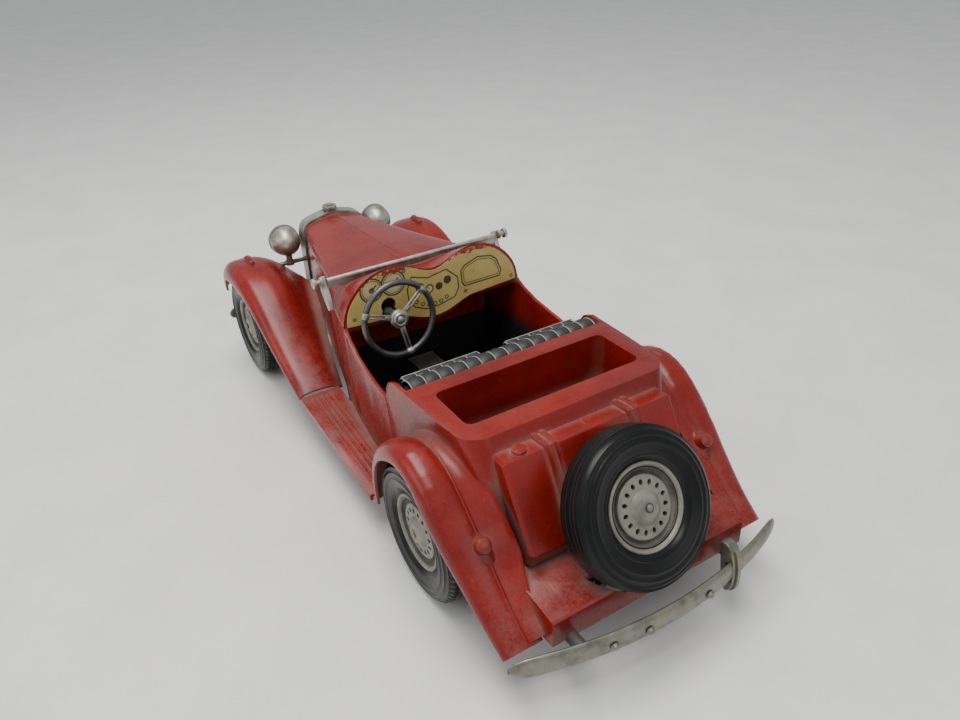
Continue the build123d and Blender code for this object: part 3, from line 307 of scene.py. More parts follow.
def enamel_coat(m):
    """Old red enamel: patchy colour, dust in corners and on flat tops, rubbed edges and small chips."""
    patches = m.noise(34, 4)
    base = m.mix(patches.step(0.3, 0.72), ENAMEL_DEEP, ENAMEL_BRIGHT)
    corner = (1.0 - m.shade(9)).step(0.12, 0.62)
    film = m.noise(11, 6, 0.66)
    fine = m.noise(1.2, 5, 0.7)
    low = 1.0 - m.z.step(34.0, 66.0)
    settled = m.facing("Z").step(0.35, 0.95) * (fine * 0.5 + film * 0.5).step(0.40, 0.70)
    dust = corner * (0.35 + film * 1.1) + settled * (0.10 + low * 0.32)
    speck = m.noise(1.6, 4, 0.7).step(0.60, 0.70) * film.step(0.40, 0.62) * 0.35
    dust = (dust + speck * 0.6).clamp()
    base = m.mix(dust * 0.80, base, DUST)
    rim = m.edges(1.1).step(0.30, 0.62)
    rubbed = (rim * m.noise(4.5, 5, 0.6).step(0.45, 0.62)).clamp()
    base = m.mix(rubbed * 0.5, base, ENAMEL_RUBBED)
    chip = (m.noise(2.1, 5, 0.62).step(0.735, 0.755) + rim * m.noise(1.3, 4, 0.6).step(0.66, 0.70)).clamp()
    base = m.mix(chip * 0.85, base, BARE_METAL)
    scratch = m.noise(1.5, 3, 0.5, stretch=(0.06, 1.3, 1.0)).step(0.70, 0.73) * film.step(0.5, 0.6)
    base = m.mix(scratch * 0.35, base, ENAMEL_SCRATCHED)
    roughness = 0.21 + dust * 0.45 + film * 0.12 + chip * 0.2
    height = m.noise(2.4, 5, 0.6) * 0.35 + m.noise(14, 2) * 0.65 - chip * 0.35
    return base, roughness, m.bump(height, ENAMEL_RELIEF, ENAMEL_RELIEF_STRENGTH)


def red_enamel():
    m = Finish("red_enamel")
    base, roughness, normal = enamel_coat(m)
    return m.finish(base, roughness, 0.0, normal, Specular_IOR_Level=ENAMEL_SPECULAR)


def lining_mask(m):
    """1 on the inner walls below a sloping line, on the ends of the cockpit and under the dash."""
    side_sign = m.y / (abs(m.y) + 0.001)
    inward = (-(m.facing("Y") * side_sign)).step(0.25, 0.5)
    along = (m.x > rear_mm(LINING_BACK)) * (m.x < rear_mm(LINING_FRONT))
    slope = {
        "Value": m.x,
        "From Min": rear_mm(LINING_SLOPE_BACK),
        "From Max": rear_mm(LINING_SLOPE_FRONT),
        "To Min": LINING_TOP_BACK,
        "To Max": LINING_TOP_FRONT,
    }
    limit = m.add("ShaderNodeMapRange", {}, slope)
    low = (limit - m.z - m.noise(8, 3) * 5.0).step(-8.0, 6.0)
    ends = (m.z < LINING_TOP_BACK) * (abs(m.y) < LINING_END_HALF) * (abs(m.y) < LINING_HALF)
    under_dash = (m.x > rear_mm(UNDER_DASH_BACK)) * (m.z < UNDER_DASH_TOP) * (m.facing("Z") < -0.2)
    return (along * low * inward + along * ends * low + under_dash * along).clamp()


def tub_enamel():
    """Red outside, dull black inside the cockpit below the rail."""
    m = Finish("tub_enamel")
    base, roughness, normal = enamel_coat(m)
    black = lining_mask(m)
    base = m.mix(black, base, COCKPIT_BLACK)
    return m.finish(base, roughness + black * 0.35, 0.0, normal, Specular_IOR_Level=ENAMEL_SPECULAR)


def aged_metal(name, bright, dark, metallic, rough, patina_amount):
    """Dull plated or cast metal with random stains, and painted shade darkening it in its corners."""
    m = Finish(name)
    stain = m.noise(7, 5, 0.62)
    # Painted shade: corners found by occlusion are mixed towards the dark colour, on top of the random stains.
    corner = (1.0 - m.shade(5)).step(0.08, 0.55)
    base = m.mix((stain.step(0.35, 0.75) * 0.7 + corner * 0.6).clamp(), bright, dark)
    patina = m.noise(13, 4, 0.6).step(0.45, 0.75)
    base = m.mix(patina * patina_amount, base, PATINA)
    pits = m.noise(0.9, 3, 0.6)
    base = m.mix(pits.step(0.62, 0.72) * 0.35, base, dark)
    roughness = rough + stain * 0.22 + corner * 0.2
    height = pits * 0.6 + m.noise(3.2, 4) * 0.8
    return m.finish(base, roughness, metallic, m.bump(height, 0.16, 0.7))


def painted(name, colour, dust, rough, dust_amount):
    """Plain paint or plastic with dust lying on it."""
    m = Finish(name)
    film = m.noise(9, 5, 0.62)
    corner = (1.0 - m.shade(6)).step(0.1, 0.6)
    amount = ((m.facing("Z").step(0.2, 1.0) * 0.5 + corner * 0.6) * (film + 0.2) * dust_amount).clamp()
    base = m.mix(amount, colour, dust)
    grain = m.noise(0.5, 4, 0.6)
    return m.finish(base, rough + amount * 0.25 + film * 0.08, 0.0, m.bump(grain, 0.06, 0.6))


def tyre_rubber(name, dust_amount):
    """Hard black rubber, a little shiny, with grey dust in its grooves."""
    m = Finish(name)
    film = m.noise(12, 6, 0.65)
    fine = m.noise(0.8, 3, 0.6)
    corner = (1.0 - m.shade(3)).step(0.05, 0.6)
    dust = (film.step(0.45, 0.85) * 0.22 * dust_amount + corner * 0.30 + fine.step(0.6, 0.75) * 0.06).clamp()
    base = m.mix(dust, RUBBER, RUBBER_DUST)
    height = fine * 0.5 + m.noise(4, 3) * 0.5
    return m.finish(base, 0.30 + dust * 0.5, 0.0, m.bump(height, 0.07, 0.5), Specular_IOR_Level=0.26)


def headlamp_glass():
    """Pale ribbed glass under a film of grime."""
    m = Finish("lens_glass")
    ribs = (m.y * 2.4).wave() * 0.5 + 0.5
    film = m.noise(6, 5)
    base = m.mix(film.step(0.4, 0.8) * 0.4, GLASS, GLASS_GRIME)
    return m.finish(base, 0.12 + film * 0.2, 0.0, m.bump(ribs, 0.25, 0.8), Coat_Weight=0.6)


# ---- printed dash ----
OCHRE_DEEP = (0.50, 0.355, 0.105)
OCHRE = (0.60, 0.45, 0.16)
DIAL_CREAM = (0.68, 0.58, 0.32)
INK = (0.012, 0.010, 0.008)
FOXING = (0.20, 0.10, 0.035)
DASH_RED = (0.27, 0.030, 0.016)
PRINT_TOP = 120.6
DIAL_TICKS = 24

# Dials are (y, z, radius), and the rest are (y, z) points, in mm.
BIG_DIALS = [(38.0, 109.3, 6.5), (25.0, 110.2, 6.9)]
SMALL_DIALS = [(9.2, 103.0, 2.3), (3.4, 100.8, 2.3)]
DARK_DIALS = [(-2.8, 100.8, 2.1), (-8.3, 103.2, 2.3)]
SWITCHES = [(8.0, 92.6), (4.2, 91.2), (0.4, 90.8), (-3.4, 91.4), (-7.2, 92.8), (12.0, 95.0)]
DASH_SCREWS = [(49.6, 95.3), (18.2, 115.4), (-10.5, 115.0), (-19.8, 92.9), (-51.3, 94.2)]
CENTRE_PANEL = [
    (14.0, 110.6), (4.0, 107.6), (-8.0, 109.6), (-15.0, 103.0), (-15.4, 96.2), (-12.5, 91.4), (-2.0, 89.0),
    (6.0, 89.0), (13.0, 92.0), (16.6, 97.0), (17.0, 104.0),
]
GLOVE_BOX = [
    (-19.4, 96.2), (-17.8, 98.6), (-17.4, 105.8), (-19.8, 108.8), (-28.6, 111.8), (-37.4, 110.4),
    (-41.2, 107.4), (-44.4, 99.6), (-43.0, 96.4),
]
GLOVE_DOOR = [
    (-20.4, 97.6), (-19.2, 99.0), (-18.8, 105.2), (-20.8, 107.6), (-28.6, 110.2), (-36.8, 109.0),
    (-40.2, 106.4), (-42.9, 99.8), (-42.0, 97.8),
]


def distance_to(m, y, z):
    """Distance across the dash from a point."""
    dy, dz = m.y - y, m.z - z
    return (dy * dy + dz * dz) ** 0.5


def ring_line(distance, radius, width):
    """1 on a thin circle of the given radius."""
    return 1.0 - abs(distance - radius).step(width * 0.35, width * 0.75)


def disc(distance, radius, edge):
    """1 inside a circle of the given radius, fading out by the larger radius edge."""
    return 1.0 - distance.step(radius, edge)


def stroke(m, start, end, width):
    """1 on a straight stroke between two points."""
    (ya, za), (yb, zb) = start, end
    length = sqrt((yb - ya) ** 2 + (zb - za) ** 2)
    uy, uz = (yb - ya) / length, (zb - za) / length
    along = (m.y - ya) * uy + (m.z - za) * uz
    across = abs((m.z - za) * uy - (m.y - ya) * uz)
    past = abs(along - length / 2) - length / 2
    return (1.0 - across.step(width * 0.3, width * 0.7)) * (1.0 - past.step(0.0, 0.3))


def outline(m, corners, width):
    return [stroke(m, a, b, width) for a, b in zip(corners, corners[1:] + corners[:1])]


def big_dial_marks(m, y, z, radius):
    """Two rings, ticks between them, a hub and a needle."""
    far = distance_to(m, y, z)
    angle = m.y.math("ARCTAN2", m.z - z, m.y - y)
    tick = abs((angle * (DIAL_TICKS / tau)).wrap(1.0) - 0.5) < 0.09
    band = (far < radius * 0.80) * (far > radius * 0.62)
    hub = ring_line(far, radius * 0.16, 0.9)
    needle = stroke(m, (y, z), (y - radius * 0.45, z + radius * 0.35), 0.9)
    return [ring_line(far, radius, 0.85), ring_line(far, radius * 0.84, 0.40), tick * band, hub, needle]


def small_dial_marks(m, y, z, radius):
    needle = stroke(m, (y, z), (y + radius * 0.5, z + radius * 0.5), 0.35)
    return [ring_line(distance_to(m, y, z), radius, 0.75), needle]


def dash_ink(m):
    """1 wherever the dash is printed black."""
    marks = [mark for dial in BIG_DIALS for mark in big_dial_marks(m, *dial)]
    marks += [mark for dial in SMALL_DIALS for mark in small_dial_marks(m, *dial)]
    marks += [disc(distance_to(m, y, z), radius, radius + 0.3) for y, z, radius in DARK_DIALS]
    marks += [ring_line(distance_to(m, y, z), 1.05, 0.55) for y, z in SWITCHES]
    for y, z in DASH_SCREWS:
        marks += [
            ring_line(distance_to(m, y, z), 0.85, 0.5),
            stroke(m, (y - 0.5, z - 0.4), (y + 0.5, z + 0.4), 0.3),
        ]
    marks += outline(m, CENTRE_PANEL, 0.75) + outline(m, GLOVE_BOX, 0.85) + outline(m, GLOVE_DOOR, 0.5)
    ink = marks[0]
    for mark in marks[1:]:
        ink = ink.math("MAXIMUM", ink, mark)
    return ink


def dial_faces(m):
    """1 on the cream faces of the dials."""
    faces = [disc(distance_to(m, y, z), radius * 0.95, radius) for y, z, radius in BIG_DIALS]
    faces += [disc(distance_to(m, y, z), radius * 0.9, radius) for y, z, radius in SMALL_DIALS]
    faces += [disc(distance_to(m, y, z), radius * 0.42, radius * 0.52) * 2.0 for y, z, radius in DARK_DIALS]
    cream = faces[0]
    for face in faces[1:]:
        cream = (cream + face).clamp()
    return cream


def printed_dash():
    """Ochre printed tin with black line work: dials, a centre panel, switches and a glove box."""
    m = Finish("printed_dash")
    ink = dash_ink(m)
    base = m.mix(m.noise(18, 4).step(0.3, 0.7), OCHRE_DEEP, OCHRE)
    base = m.mix(dial_faces(m) * 0.6, base, DIAL_CREAM)
    base = m.mix(ink * 0.92, base, INK)
    foxing = m.noise(3.0, 5, 0.65)
    base = m.mix(foxing.step(0.56, 0.74) * 0.35, base, FOXING)
    ragged_height = m.z + m.noise(5, 4, 0.7) * 9.0
    lost = (ragged_height > PRINT_TOP) * foxing.step(0.35, 0.5)
    base = m.mix(lost, base, DASH_RED)
    return m.finish(base, 0.42 + foxing * 0.25, 0.0, m.bump(ink * 0.5 + foxing, 0.05, 0.5))


# Bright colour, then the darker colour of stains and of painted shade in corners, metallic, roughness and how much
# patina.
METALS = {
    "nickel": ((0.50, 0.48, 0.42), (0.16, 0.145, 0.12), 0.85, 0.30, 0.3),
    "bumper_metal": ((0.23, 0.225, 0.19), (0.07, 0.066, 0.048), 0.7, 0.31, 0.45),
    "wheel_grey": ((0.27, 0.255, 0.215), (0.12, 0.115, 0.095), 0.35, 0.44, 0.2),
    "gunmetal": ((0.13, 0.135, 0.14), (0.035, 0.035, 0.035), 0.8, 0.27, 0.05),
    "zinc_steel": ((0.42, 0.42, 0.40), (0.18, 0.17, 0.16), 0.85, 0.38, 0.1),
    "gear_brass": ((0.52, 0.37, 0.13), (0.20, 0.12, 0.04), 0.9, 0.34, 0.2),
    # The rail's darker colour is pinkish brown: partly age, partly a painted reflection of the red body.
    "rail_metal": ((0.50, 0.49, 0.46), (0.20, 0.15, 0.13), 0.6, 0.36, 0.1),
}
# Colour, dust colour, roughness and how much dust.
PAINTS = {
    "dark_metal": ((0.018, 0.017, 0.017), (0.20, 0.19, 0.175), 0.5, 0.6),
    "black_vinyl": ((0.0085, 0.0085, 0.009), (0.09, 0.085, 0.08), 0.46, 0.35),
    "piping_grey": ((0.27, 0.27, 0.26), (0.20, 0.17, 0.16), 0.42, 0.3),
    "floor_grey": ((0.05, 0.05, 0.048), (0.24, 0.22, 0.20), 0.7, 1.2),
    "lamp_red": ((0.19, 0.013, 0.007), DUST, 0.24, 0.3),
}
# How much dust; the spare is the cleaner.
RUBBERS = {"tyre_rubber": 1.6, "spare_rubber": 0.3}


def make_finishes():
    finishes = {name: aged_metal(name, *look) for name, look in METALS.items()}
    finishes |= {name: painted(name, *look) for name, look in PAINTS.items()}
    finishes |= {name: tyre_rubber(name, dust_amount) for name, dust_amount in RUBBERS.items()}
    finishes["red_enamel"] = red_enamel()
    finishes["tub_enamel"] = tub_enamel()
    finishes["lens_glass"] = headlamp_glass()
    finishes["printed_dash"] = printed_dash()
    return finishes


# ---- new pieces ----
def piece(name, bm, body, slot, finish, *nodes, smooth=40):
    """Makes an object from a bmesh, which rides on a body and stands for the CAD nodes given, if any."""
    data = bpy.data.meshes.new(name)
    bm.to_mesh(data)
    bm.free()
    obj = bpy.data.objects.new(name, data)
    bpy.context.scene.collection.objects.link(obj)
    data.polygons.foreach_set("use_smooth", [True] * len(data.polygons))
    data.set_sharp_from_angle(angle=radians(smooth))
    data.materials.append(FINISH[finish])
    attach(obj, body)
    if nodes:
        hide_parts(*nodes)
    return obj


def full_turn(bm, geom, steps):
    """Spins an outline right round Z and closes it."""
    centre = (0, 0, 0)
    bmesh.ops.spin(
        bm, geom=geom, axis=(0, 0, 1), cent=centre, dvec=(0, 0, 0), angle=tau, steps=steps, use_merge=True
    )
    bmesh.ops.remove_doubles(bm, verts=bm.verts, dist=SAME_POINT)
    bmesh.ops.recalc_face_normals(bm, faces=bm.faces)


def spun(profile, steps):
    """A full turn about Z of an outline of (radius, height) points in mm."""
    bm = bmesh.new()
    verts = [bm.verts.new((r * MM, 0, z * MM)) for r, z in profile]
    edges = [bm.edges.new(pair) for pair in zip(verts, verts[1:])]
    full_turn(bm, verts + edges, steps)
    return bm


def joined(meshes):
    """One bmesh made of several."""
    whole = bmesh.new()
    for bm in meshes:
        data = bpy.data.meshes.new("joining")
        bm.to_mesh(data)
        bm.free()
        whole.from_mesh(data)
        bpy.data.meshes.remove(data)
    return whole


def bar_mesh(radius, start, end, segments=12):
    """A round bar with softly rounded ends."""
    start, end = Vector(start), Vector(end)
    length = (end - start).length
    bm = bmesh.new()
    bmesh.ops.create_cone(bm, cap_ends=True, segments=segments, radius1=radius, radius2=radius, depth=length)
    rims = [e for e in bm.edges if len({round(v.co.z, 7) for v in e.verts}) == 1]
    rounded(bm, rims, radius * 0.3, 2)
    turn = (end - start).to_track_quat("Z", "Y").to_matrix().to_4x4()
    bmesh.ops.transform(bm, matrix=Matrix.Translation((start + end) / 2) @ turn, verts=bm.verts)
    return bm


def rounded(bm, edges, width, segments):
    bmesh.ops.bevel(
        bm, geom=edges, offset=width, offset_type="OFFSET", segments=segments, profile=0.5, affect="EDGES",
        material=-1,
    )


# ---- CAD nodes ----
# How far the edges of each CAD copy are rounded, in mm.
SOFTENED = {
    "body_tub": 0.7,
    "bonnet": 0.45,
    "fuel_tank": 0.7,
    "tank_straps": 0.3,
    "rear_apron": 0.5,
    "radiator_shell": 0.5,
    "radiator_cap": 0.3,
    "running_board_left": 0.3,
    "running_board_right": 0.3,
    "windscreen_rail": 0.2,
    "windscreen_brackets": 0.5,
    "windscreen_thumbscrews": 0.3,
    "rear_overrider": 0.9,
    "front_overriders": 0.9,
    "tank_filler_cap": 0.3,
    "headlamp_bar": 0.2,
    "front_wing_left": 0.3,
    "front_wing_right": 0.3,
    "rear_wing_left": 0.3,
    "rear_wing_right": 0.3,
    "side_lamps": 0.3,
}
OWN_FINISH = {"body_tub": "tub_enamel", "windscreen_rail": "rail_metal", "windscreen_brackets": "rail_metal"}
ROUNDING_SEGMENTS, ROUNDING_ANGLE = 3, 28
FLAT_ANGLE = 0.6


def slot_of(node):
    return next(part["material_slot"] for part in frame["record"]["subparts"] if part["node"] == node)


def body_of(node):
    bodies = frame["record"]["behaviour"]["bodies"]
    return next(body for body, members in bodies.items() if node in members)


def finish_of(node):
    return OWN_FINISH.get(node, slot_of(node))


def softened(node, width):
    """A copy of a CAD node with its edges rounded over."""
    bm = bmesh.new()
    bm.from_mesh(NODES[node].data)
    bmesh.ops.remove_doubles(bm, verts=bm.verts, dist=CAD_SEAM)
    bmesh.ops.dissolve_limit(bm, angle_limit=radians(FLAT_ANGLE), verts=bm.verts, edges=bm.edges)
    obj = piece(f"{node}_finished", bm, body_of(node), slot_of(node), finish_of(node), node, smooth=180)
    rounding = obj.modifiers.new("rounding", "BEVEL")
    rounding.width = width * MM
    rounding.segments = ROUNDING_SEGMENTS
    rounding.limit_method = "ANGLE"
    rounding.angle_limit = radians(ROUNDING_ANGLE)
    rounding.use_clamp_overlap = True
    rounding.harden_normals = True


def finish_nodes():
    for node, width in SOFTENED.items():
        softened(node, width)
    for node, obj in NODES.items():
        obj.data.materials.clear()
        obj.data.materials.append(FINISH[finish_of(node)])


# ---- tyres ----
TREAD_BLOCKS, STEPS_PER_BLOCK = 60, 4
SHOULDER_RADIUS, SHOULDER_Z = 33.5, 3.8
CUT_DEPTH, CUT_NARROWING = 0.75, 0.96
SPARE_LEAN = 29.0

# Half of the tyre, as (radius, distance from its middle plane), from the rim out and in over the tread.
WALL_PROFILE = [
    (16.4, 5.3), (19.4, 5.4), (20.4, 6.6), (21.4, 7.5), (22.0, 7.9), (22.5, 7.6), (24.4, 8.3),
    (26.6, 8.55), (27.0, 8.85), (27.5, 8.5), (29.6, 8.3), (30.0, 8.55), (30.5, 8.15), (32.0, 7.5),
    (32.5, 7.7), (33.0, 7.1), (33.9, 6.3),
]
TREAD_PROFILE = [
    (34.7, 5.9), (34.75, 4.5), (34.0, 4.3), (34.0, 3.9), (34.95, 3.7), (34.98, 2.2), (34.2, 2.0),
    (34.2, 1.6), (35.0, 1.4), (35.0, 0.0),
]
HUB_NUB_PROFILE = [(0, 8.9), (0.9, 8.8), (1.5, 8.3), (1.7, 7.6), (1.7, 6.9), (2.4, 6.9)]


def cut_tread_blocks(bm, steps):
    """Sinks a short cut into each shoulder between one tread block and the next."""
    for vert in bm.verts:
        radius = sqrt(vert.co.x**2 + vert.co.y**2)
        turn = round((atan2(vert.co.y, vert.co.x) % tau) / tau * steps)
        on_shoulder = radius > SHOULDER_RADIUS * MM and abs(vert.co.z) > SHOULDER_Z * MM
        if on_shoulder and turn % STEPS_PER_BLOCK == 0:
            sink = (radius - CUT_DEPTH * MM) / radius
            vert.co.x *= sink
            vert.co.y *= sink
            vert.co.z *= CUT_NARROWING


def tyre_mesh(blocks):
    """A ribbed tyre about Z, with or without tread blocks."""
    half = WALL_PROFILE + TREAD_PROFILE
    profile = half + [(r, -z) for r, z in reversed(half[:-1])]
    steps = TREAD_BLOCKS * STEPS_PER_BLOCK
    bm = spun(profile + profile[:1], steps)
    if blocks:
        cut_tread_blocks(bm, steps)
    return bm


def place_wheel_part(bm, centre, outward):
    """Turns a mesh about Z so that +Z points outward, and puts it at a centre."""
    turn = Vector(outward).to_track_quat("Z", "X").to_matrix().to_4x4()
    bmesh.ops.transform(bm, matrix=Matrix.Translation(centre) @ turn, verts=bm.verts)
    return bm


def wheel_places():
    """The pattern of the node names, the centre and the outward direction of every wheel."""
    rows = []
    for end, x in (("rear", REAR_X), ("front", FRONT_X)):
        for side, sign in SIDES:
            rows.append((f"{end}_{{}}_{side}", Vector((x, sign * TRACK_HALF, AXLE_Z)), Vector((0, sign, 0))))
    lean = radians(SPARE_LEAN)
    rows.append(("spare_{}", middle("spare_tyre"), Vector((-cos(lean), 0, sin(lean)))))
    return rows


def make_tyres():
    for pattern, centre, outward in wheel_places():
        node = pattern.format("tyre")
        spare = node == "spare_tyre"
        finish = "spare_rubber" if spare else "tyre_rubber"
        bm = place_wheel_part(tyre_mesh(not spare), centre, outward)
        piece(f"{node}_rubber", bm, body_of(node), "tyre_rubber", finish, node, smooth=50)


def make_hub_nubs():
    for pattern, centre, outward in wheel_places():
        node = pattern.format("wheel")
        nub = place_wheel_part(spun(HUB_NUB_PROFILE, 32), centre, outward)
        piece(f"{node}_nub", nub, body_of(node), "wheel_grey", "wheel_grey")


# ---- seats ----
SEAT_HALF = 54.0
BACK_PLEATS, SQUAB_PLEATS = 14, 6
SQUAB_INNER, SQUAB_OUTER = 8.5, 51.5
PLEAT_RISE, PLEAT_SINK = 1.15, 0.9
PLEAT_FULLNESS, PLEAT_END_SLOPE = 0.55, 9
PIPING_RADIUS, PIPING_SINK = 0.32, 0.35
BORDER_SHARE, BORDER_RADIUS, BORDER_RISE = 0.42, 0.36, 0.1

# Paths over the top of the seat, as (x forward of the rear axle, z) points in mm.
BACK_ROLL = [
    (27.4, 90.6), (28.8, 92.9), (31.8, 94.0), (35.6, 93.6), (38.8, 91.4), (40.6, 88.4), (41.0, 86.6),
]
SQUAB_ROLL = [
    (40.6, 86.8), (41.6, 88.9), (44.0, 89.5), (46.6, 88.2), (48.0, 85.0), (51.2, 74.0), (55.0, 60.6),
]

# The slab behind the pleats: its place, thickness, lean and rounding, and how much less than its node it is.
SLAB_X, SLAB_THICKNESS, SLAB_LEAN = 38.2, 9.5, -17
SLAB_SHORTER, SLAB_LOWER, SLAB_ROUNDING = 4.0, 2.6, 1.4

# A cushion's gap to the middle line, how much smaller than its node it is, and its swell.
CUSHION_GAP, CUSHION_FORWARD = 2.6, 2.2
CUSHION_SHORTER, CUSHION_THINNER, CUSHION_SWELL = 5, 1.2, 1.0
CUSHION_CUTS, CORNER_PULL, ON_FACE = 7, 0.10, 0.49


def along_path(path, t):
    """The point and upward normal at a share t of a path of (x, z) points, rounded through them."""
    place = t * (len(path) - 1)
    k = min(int(place), len(path) - 2)
    before, start, end, after = [Vector(path[min(max(k + d, 0), len(path) - 1)]) for d in (-1, 0, 1, 2)]
    u = place - k
    slope = end - before
    bend = 2 * before - 5 * start + 4 * end - after
    twist = 3 * start - before - 3 * end + after
    point = 0.5 * (2 * start + slope * u + bend * u**2 + twist * u**3)
    ahead = (end - start).normalized()
    return point, Vector((-ahead.y, ahead.x))


def pleats_mesh(path, y_low, y_high, count):
    """Padded pleats side by side, each following a path over the top of the seat."""
    bm = bmesh.new()
    bmesh.ops.create_grid(bm, x_segments=24, y_segments=count * 8, size=1.0)
    for vert in bm.verts:
        t, share = (vert.co.x + 1) / 2, (vert.co.y + 1) / 2
        point, normal = along_path(path, t)
        pleat = abs(sin(pi * count * share)) ** PLEAT_FULLNESS
        ends = min(1.0, PLEAT_END_SLOPE * t, PLEAT_END_SLOPE * (1 - t)) ** 0.5
        point = point + normal * (PLEAT_RISE * pleat * ends - PLEAT_SINK)
        vert.co = (rear(point.x), y_low * MM + share * (y_high - y_low) * MM, point.y * MM)
    bmesh.ops.recalc_face_normals(bm, faces=bm.faces)
    return bm


def piping_mesh(path, y):
    """A half-round cord along a path over the top of the seat."""
    bm = bmesh.new()
    bmesh.ops.create_grid(bm, x_segments=24, y_segments=6, size=1.0)
    for vert in bm.verts:
        t, around = (vert.co.x + 1) / 2, pi * (vert.co.y + 1) / 2
        point, normal = along_path(path, t)
        point = point + normal * (PIPING_RADIUS * sin(around) - PIPING_SINK)
        vert.co = (rear(point.x), (y + PIPING_RADIUS * cos(around)) * MM, point.y * MM)
    bmesh.ops.recalc_face_normals(bm, faces=bm.faces)
    return bm


def border_mesh(path, y_low, y_high):
    """A round cord across a squab."""
    point, normal = along_path(path, BORDER_SHARE)
    point = point + normal * BORDER_RISE
    start, end = [(rear(point.x), y * MM, point.y * MM) for y in (y_low, y_high)]
    return bar_mesh(BORDER_RADIUS * MM, start, end)


def make_seat_back():
    """Pleats along the top of the back, a squab of pleats in front for each seat, and pale piping."""
    pleats = [pleats_mesh(BACK_ROLL, -SEAT_HALF, SEAT_HALF, BACK_PLEATS)]
    pitch = 2 * SEAT_HALF / BACK_PLEATS
    piping = [piping_mesh(BACK_ROLL, -SEAT_HALF + k * pitch) for k in range(BACK_PLEATS + 1)]
    for y_low, y_high in ((SQUAB_INNER, SQUAB_OUTER), (-SQUAB_OUTER, -SQUAB_INNER)):
        pleats.append(pleats_mesh(SQUAB_ROLL, y_low, y_high, SQUAB_PLEATS))
        pitch = (y_high - y_low) / SQUAB_PLEATS
        piping += [piping_mesh(SQUAB_ROLL, y_low + k * pitch) for k in range(SQUAB_PLEATS + 1)]
        piping.append(border_mesh(SQUAB_ROLL, y_low, y_high))
    quilt = joined(pleats)
    back = piece("seat_back_pleats", quilt, "body", "black_vinyl", "black_vinyl", "seat_back", smooth=60)
    piece("seat_back_piping", joined(piping), "body", "black_vinyl", "piping_grey", smooth=60)


def make_seat_slab():
    low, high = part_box("seat_back")
    slab = bmesh.new()
    bmesh.ops.create_cube(slab, size=1.0)
    height = high.z - low.z - SLAB_SHORTER * MM
    size = Matrix.Diagonal((SLAB_THICKNESS * MM, 2 * SEAT_HALF * MM, height, 1))
    turn = Matrix.Rotation(radians(SLAB_LEAN), 4, "Y")
    centre = Matrix.Translation((rear(SLAB_X), 0, (low.z + high.z) / 2 - SLAB_LOWER * MM))
    bmesh.ops.transform(slab, matrix=centre @ turn @ size, verts=slab.verts)
    rounded(slab, slab.edges, SLAB_ROUNDING * MM, 3)
    piece("seat_back_slab", slab, "body", "black_vinyl", "black_vinyl")


def cushion_mesh(centre, size):
    """A box whose faces swell and whose corners pull in."""
    bm = bmesh.new()
    bmesh.ops.create_cube(bm, size=1.0)
    bmesh.ops.subdivide_edges(bm, edges=bm.edges, cuts=CUSHION_CUTS, use_grid_fill=True)
    for vert in bm.verts:
        u, v, w = (c * 2 for c in vert.co)
        crown = [(1 - v * v) * (1 - w * w), (1 - u * u) * (1 - w * w), (1 - u * u) * (1 - v * v)]
        shrink = 1 - CORNER_PULL * abs(u * v * w)
        signs = [1 if c > 0 else -1 for c in vert.co]
        swell = [s * CUSHION_SWELL * MM * k * (abs(c) > ON_FACE) for s, k, c in zip(signs, crown, vert.co)]
        vert.co = [c * s * shrink + out for c, s, out in zip(vert.co, size, swell)]
    bmesh.ops.transform(bm, matrix=Matrix.Translation(centre), verts=bm.verts)
    return bm


def round_over(obj, levels):
    rounding = obj.modifiers.new("rounding", "SUBSURF")
    rounding.levels = levels
    rounding.render_levels = levels


def make_cushions():
    low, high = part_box("seat_cushions")
    inner, outer = CUSHION_GAP * MM, high.y
    size = (high.x - low.x - CUSHION_SHORTER * MM, outer - inner, high.z - low.z - CUSHION_THINNER * MM)
    for side, sign in SIDES:
        x = (low.x + high.x) / 2 + CUSHION_FORWARD * MM
        centre = (x, sign * (inner + outer) / 2, (low.z + high.z) / 2)
        nodes = ("seat_cushions",) if sign > 0 else ()
        bm = cushion_mesh(centre, size)
        pad = piece(f"seat_cushion_{side}", bm, "body", "black_vinyl", "black_vinyl", *nodes, smooth=60)
        round_over(pad, 2)


# ---- steering wheel ----
RIM_RADIUS, RIM_THICKNESS = 20.2, 1.7
SPOKE_TURNS = (40, 160, 280)
SPOKE_RADIUS, SPOKE_APART, SPOKE_INNER, SPOKE_OUTER, SPOKE_DISH = 0.62, 0.95, 4.4, 19.4, 0.1
WEB_RADIUS, WEB_INNER, WEB_OUTER = 1.0, 4.0, 9.0
WEB_DISH_INNER, WEB_DISH_OUTER = 0.3, 0.2
CLAMP_RADIUS, CLAMP_PLACE, CLAMP_HALF = 1.95, 20.0, 1.9
HUB_PROFILE = [
    (0, 3.0), (1.4, 2.9), (1.9, 2.5), (2.2, 1.9), (2.6, 2.2), (3.2, 2.3), (3.7, 2.0), (4.0, 1.3), (4.9, 1.0),
    (5.3, 0.4), (5.3, -1.2), (4.6, -2.4), (3.1, -2.5),
]


def rim_mesh():
    """The round rim, flat about Z."""
    ring = bmesh.new()
    bmesh.ops.create_circle(ring, segments=16, radius=RIM_THICKNESS * MM)
    place = Matrix.Translation((RIM_RADIUS * MM, 0, 0)) @ Matrix.Rotation(pi / 2, 4, "X")
    bmesh.ops.transform(ring, matrix=place, verts=ring.verts)
    full_turn(ring, ring.verts[:] + ring.edges[:], 96)
    return ring


